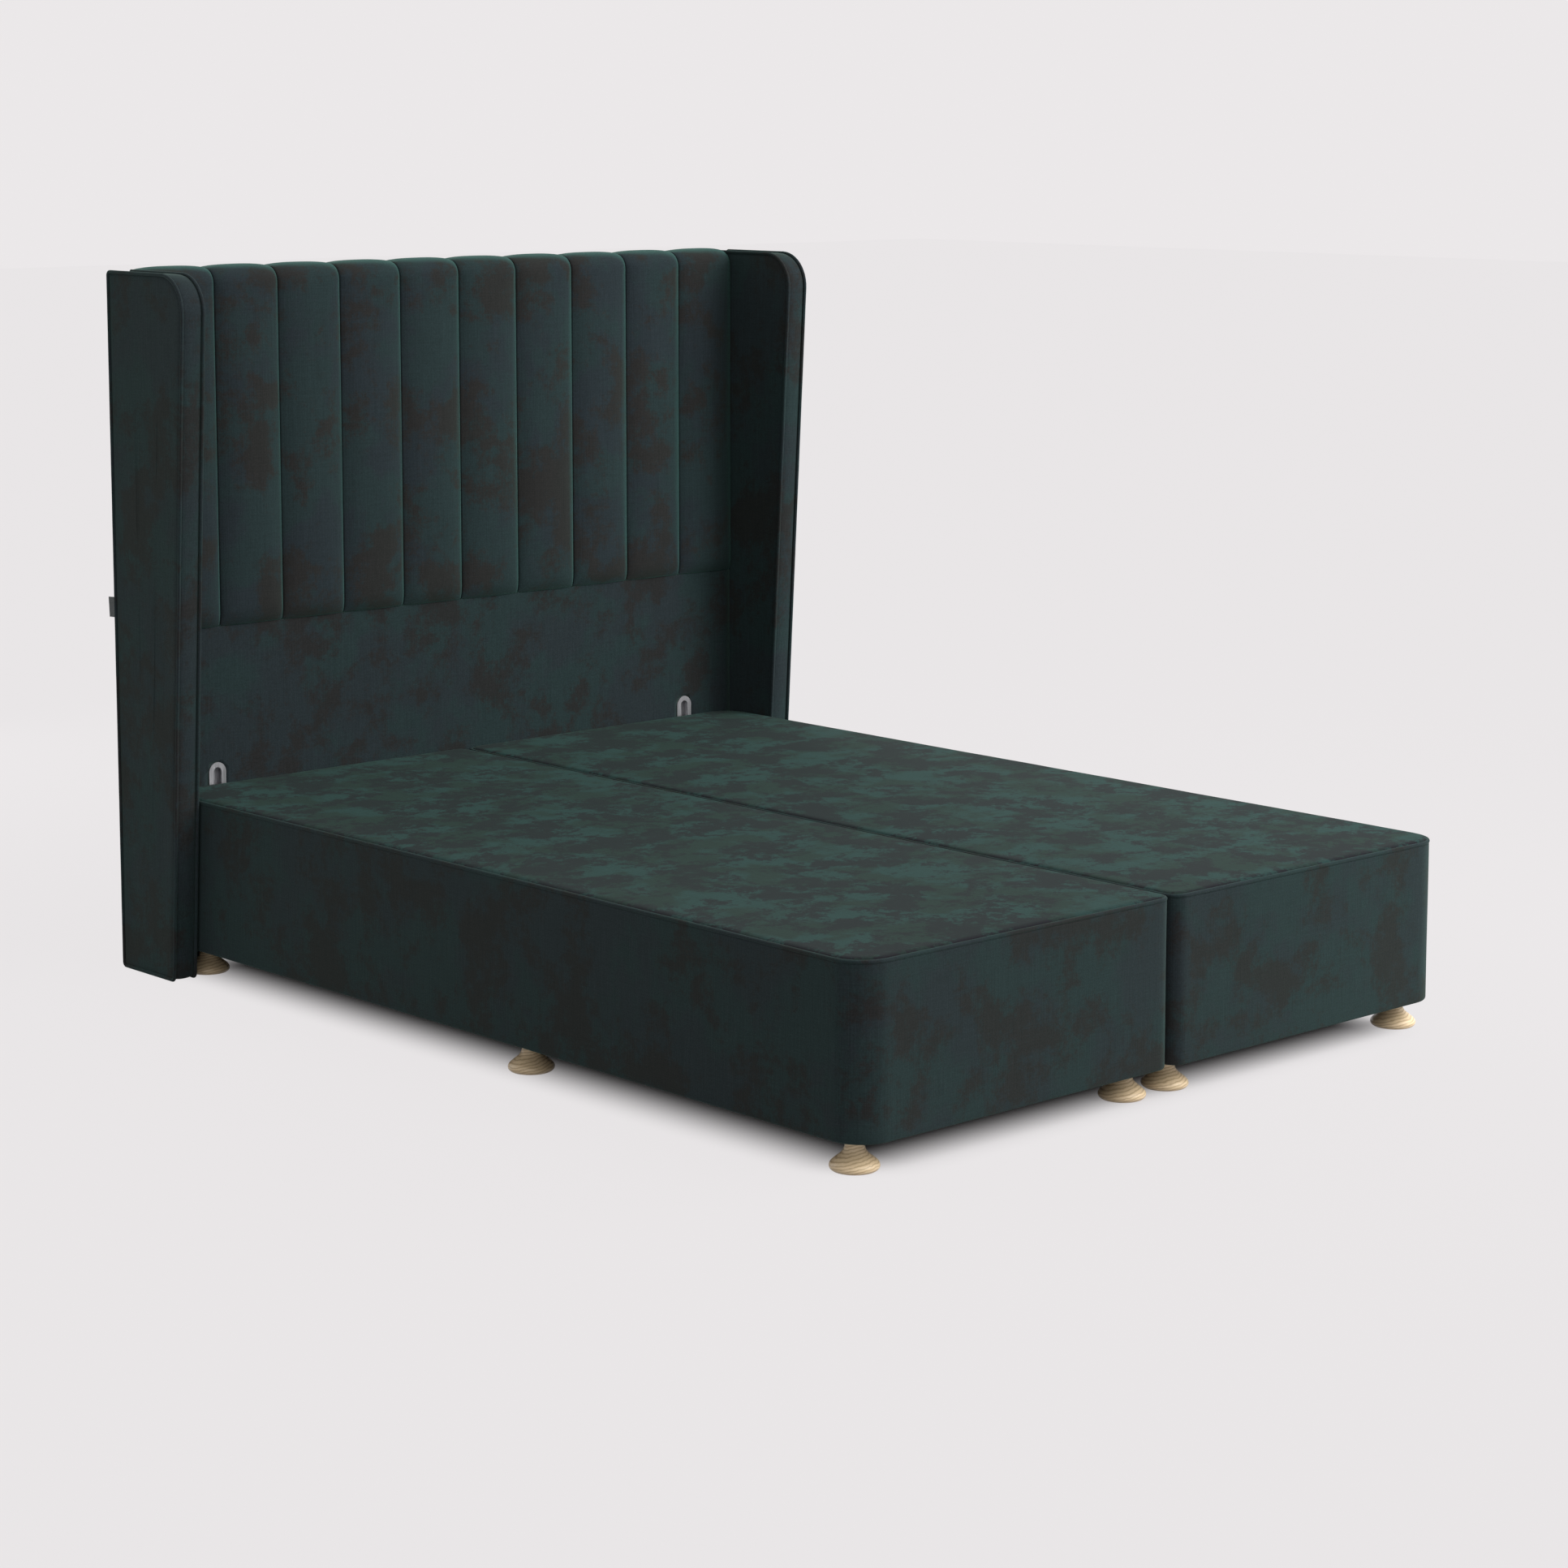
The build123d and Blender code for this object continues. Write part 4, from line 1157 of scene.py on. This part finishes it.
def makeTab():
    low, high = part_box("wing_cover_left")
    rows, columns, reach = tab["rows"], tab["columns"], tab["reach"]
    (wayX, wayY), (alongTurn, rowTurn) = tab["way"], tab["curlTurns"]
    verts = []
    for r in range(rows + 1):
        z = tab["middle"] + tab["height"] * (r / rows - 0.5)
        for c in range(columns + 1):
            share = c / columns
            curl = tab["curl"] * math.sin(share * alongTurn + r * rowTurn)
            x = low[0] - tab["inset"] + wayX * reach * share + curl
            verts.append((x, high[1] - tab["inset"] + wayY * reach * share, z))
    size, thickness = (rows + 1, columns + 1), tab["thickness"]
    piece = makeSheet("bareTab", verts, *size, tapeCloth, "headboard", "dust_cover", thickness)


makeTab()


# Underside: dust cover with staples

under = {
    "columns": 40, "rows": 110, "thickness": 0.0008,
    "inset": 0.012, "leastRadius": 0.004, "lift": 0.0006,
    "sag": 0.0035, "edgeReach": 0.25, "battenReach": 0.22, "battenHalf": 0.055,
    "wrinkle": 0.0007, "wrinkleSink": 0.5, "wrinkleDraw": 3.0, "wave": (9.0, 21.0),
}
staples = {
    "row": {"Gap": 0.06, "Width": 0.010, "Wire": 0.0006, "Seed": 7}, "skew": 0.25,
    "edge": 0.007, "inset": 0.02, "leastRadius": 0.006, "pathStep": 0.02,
}


def footPlaces(side):
    # The middle of each foot, on the floor
    places = {}
    for k in range(1, 7):
        low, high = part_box(f"foot_{side}_{k}")
        places[f"foot_{side}_{k}"] = (low[0] + high[0]) / 2, (low[1] + high[1]) / 2, low[2]
    return places


def makeDustCover(side):
    # Sags a little between the battens, where nothing holds it up
    low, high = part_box(f"dust_cover_{side}")
    radii = halfRadii(side, under["inset"], under["leastRadius"])
    battens = {round(y, 3) for x, y, z in footPlaces(side).values()}
    xs = spread(low[0], high[0], under["columns"])
    ys = spread(low[1], high[1], under["rows"])
    verts = []
    for y in ys:
        for x in xs:
            px, py, inward = roundCorner(x, y, low, high, radii)
            fromBatten = min(abs(py - place) for place in battens) - under["battenHalf"]
            slack = clampShare(inward / under["edgeReach"])
            slack *= clampShare(fromBatten / under["battenReach"])
            slack = slack * slack * (3 - 2 * slack)
            wave = ripple((px * under["wrinkleDraw"], py, 0.0), *under["wave"]) - under["wrinkleSink"]
            crease = under["wrinkle"] * slack ** 0.5 * wave
            verts.append((px, py, low[2] + under["lift"] - under["sag"] * slack + crease))
    size, thickness = (len(ys), len(xs)), under["thickness"]
    piece = makeSheet(f"dustCloth_{side}", verts, *size, blackCloth, "bases", "dust_cover", thickness)
    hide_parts(f"dust_cover_{side}")


def makeStapleTree():
    # Sets the crowns of staples along a curve, each a little askew
    inputs = {"Gap": "Float", "Width": "Float", "Wire": "Float", "Seed": "Int"}
    tree, given, wanted = newCarrierTree("stapleRow", inputs)
    inputs = {"Curve": given["Geometry"], "Length": given["Gap"]}
    along = addNode(tree, "GeometryNodeCurveToPoints", inputs, mode="LENGTH").outputs
    inputs = {"X": given["Wire"], "Y": given["Wire"], "Z": given["Width"]}
    thick = addNode(tree, "ShaderNodeCombineXYZ", inputs)
    crown = addNode(tree, "GeometryNodeMeshCube", {"Size": thick})
    inputs = {2: -staples["skew"], 3: staples["skew"], "Seed": given["Seed"]}
    skew = addNode(tree, "FunctionNodeRandomValue", inputs, data_type="FLOAT")
    spin = addNode(tree, "ShaderNodeCombineXYZ", {"X": skew.outputs[1]})
    turn = addNode(tree, "FunctionNodeEulerToRotation", {"Euler": spin})
    inputs = {"Rotation": along["Rotation"], "Rotate By": turn}
    turned = addNode(tree, "FunctionNodeRotateRotation", inputs)
    inputs = {"Points": along["Points"], "Instance": crown, "Rotation": turned}
    dressOutput(tree, addNode(tree, "GeometryNodeInstanceOnPoints", inputs), given, wanted)
    return tree


def makeStaples(side):
    low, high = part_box(f"dust_cover_{side}")
    row = staples["row"]
    radii = halfRadii(side, staples["inset"], staples["leastRadius"])
    path = insetLoop(low, high, staples["edge"], radii, staples["pathStep"], low[2] - row["Wire"] / 2)
    settings = {**row, "Material": zincSteel}
    piece = growPiece(f"staples_{side}", makePath("staple", [path]), stapleTree, settings)
    finishPiece(piece, zincSteel, "bases", smooth=False)


print("underside")
stapleTree = makeStapleTree()
for side in sideSigns:
    makeDustCover(side)
    makeStaples(side)


# Turned feet: a node tree turns one profile on a lathe and stands it under each place

feet = {"Height": 0.054, "Radius": 0.042, "Rings": 44, "Sides": 56}
# height and radius in metres, floor to neck
footProfile = (
    (0.0, 0.0375), (0.0015, 0.0395), (0.0040, 0.0414), (0.0070, 0.0420), (0.0105, 0.0412),
    (0.0140, 0.0386), (0.0175, 0.0345), (0.0215, 0.0297), (0.0255, 0.0246), (0.0300, 0.0206),
    (0.0355, 0.0177), (0.0430, 0.0158), (0.0540, 0.0150),
)


def makeLatheTree():
    inputs = {"Height": "Float", "Radius": "Float", "Rings": "Int", "Sides": "Int"}
    tree, given, wanted = newCarrierTree("turnedFeet", inputs)
    tip = addNode(tree, "ShaderNodeCombineXYZ", {"Z": given["Height"]})
    axis = addNode(tree, "GeometryNodeCurvePrimitiveLine", {"End": tip})
    steps = addNode(tree, "GeometryNodeResampleCurve", {"Curve": axis, "Count": given["Rings"]})
    along = addNode(tree, "GeometryNodeSplineParameter")
    shape = addNode(tree, "ShaderNodeFloatCurve", {"Value": along})
    line = shape.mapping.curves[0]
    places = [(z / feet["Height"], r / feet["Radius"]) for z, r in footProfile]
    line.points[0].location = places[0]
    line.points[1].location = places[-1]
    for place in places[1:-1]:
        line.points.new(*place)
    shape.mapping.update()
    inputs = {"Curve": steps, "Radius": mathNode(tree, "MULTIPLY", shape, given["Radius"])}
    swelled = addNode(tree, "GeometryNodeSetCurveRadius", inputs)
    turned = sweepRound(tree, swelled, 1.0, given["Sides"])
    if "Scale" in turned.inputs:
        feed(tree, turned.inputs["Scale"], addNode(tree, "GeometryNodeInputRadius"))
    inputs = {"Points": given["Geometry"], "Instance": turned}
    dressOutput(tree, addNode(tree, "GeometryNodeInstanceOnPoints", inputs), given, wanted)
    return tree


def makeFeet(side):
    places = footPlaces(side)
    mesh = bpy.data.meshes.new("footPlaces")
    mesh.from_pydata(list(places.values()), [], [])
    piece = growPiece(f"turnedFeet_{side}", mesh, latheTree, {**feet, "Material": turnedWood})
    tidyNormals(piece)
    finishPiece(piece, turnedWood, "bases")
    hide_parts(*places)


print("feet")
latheTree = makeLatheTree()
for side in sideSigns:
    makeFeet(side)


# CAD nodes that stay as they are

finishes = {
    "turned_wood": turnedWood,
    "softwood": softwood,
    "board": boardWood,
    "zinc_steel": zincSteel,
    "bracket_steel": bracketSteel,
    "dust_cover": blackCloth,
    "glide": nylon,
    "velvet": velvet,
}
print("finishes of the kept nodes")
slotOf = {part["node"]: part["material_slot"] for part in frame["record"]["subparts"]}
for name, node in frame["nodes"].items():
    node.data.materials.clear()
    node.data.materials.append(finishes[slotOf[name]])

bpy.context.scene.view_settings.view_transform = "Standard"

print("finishing")
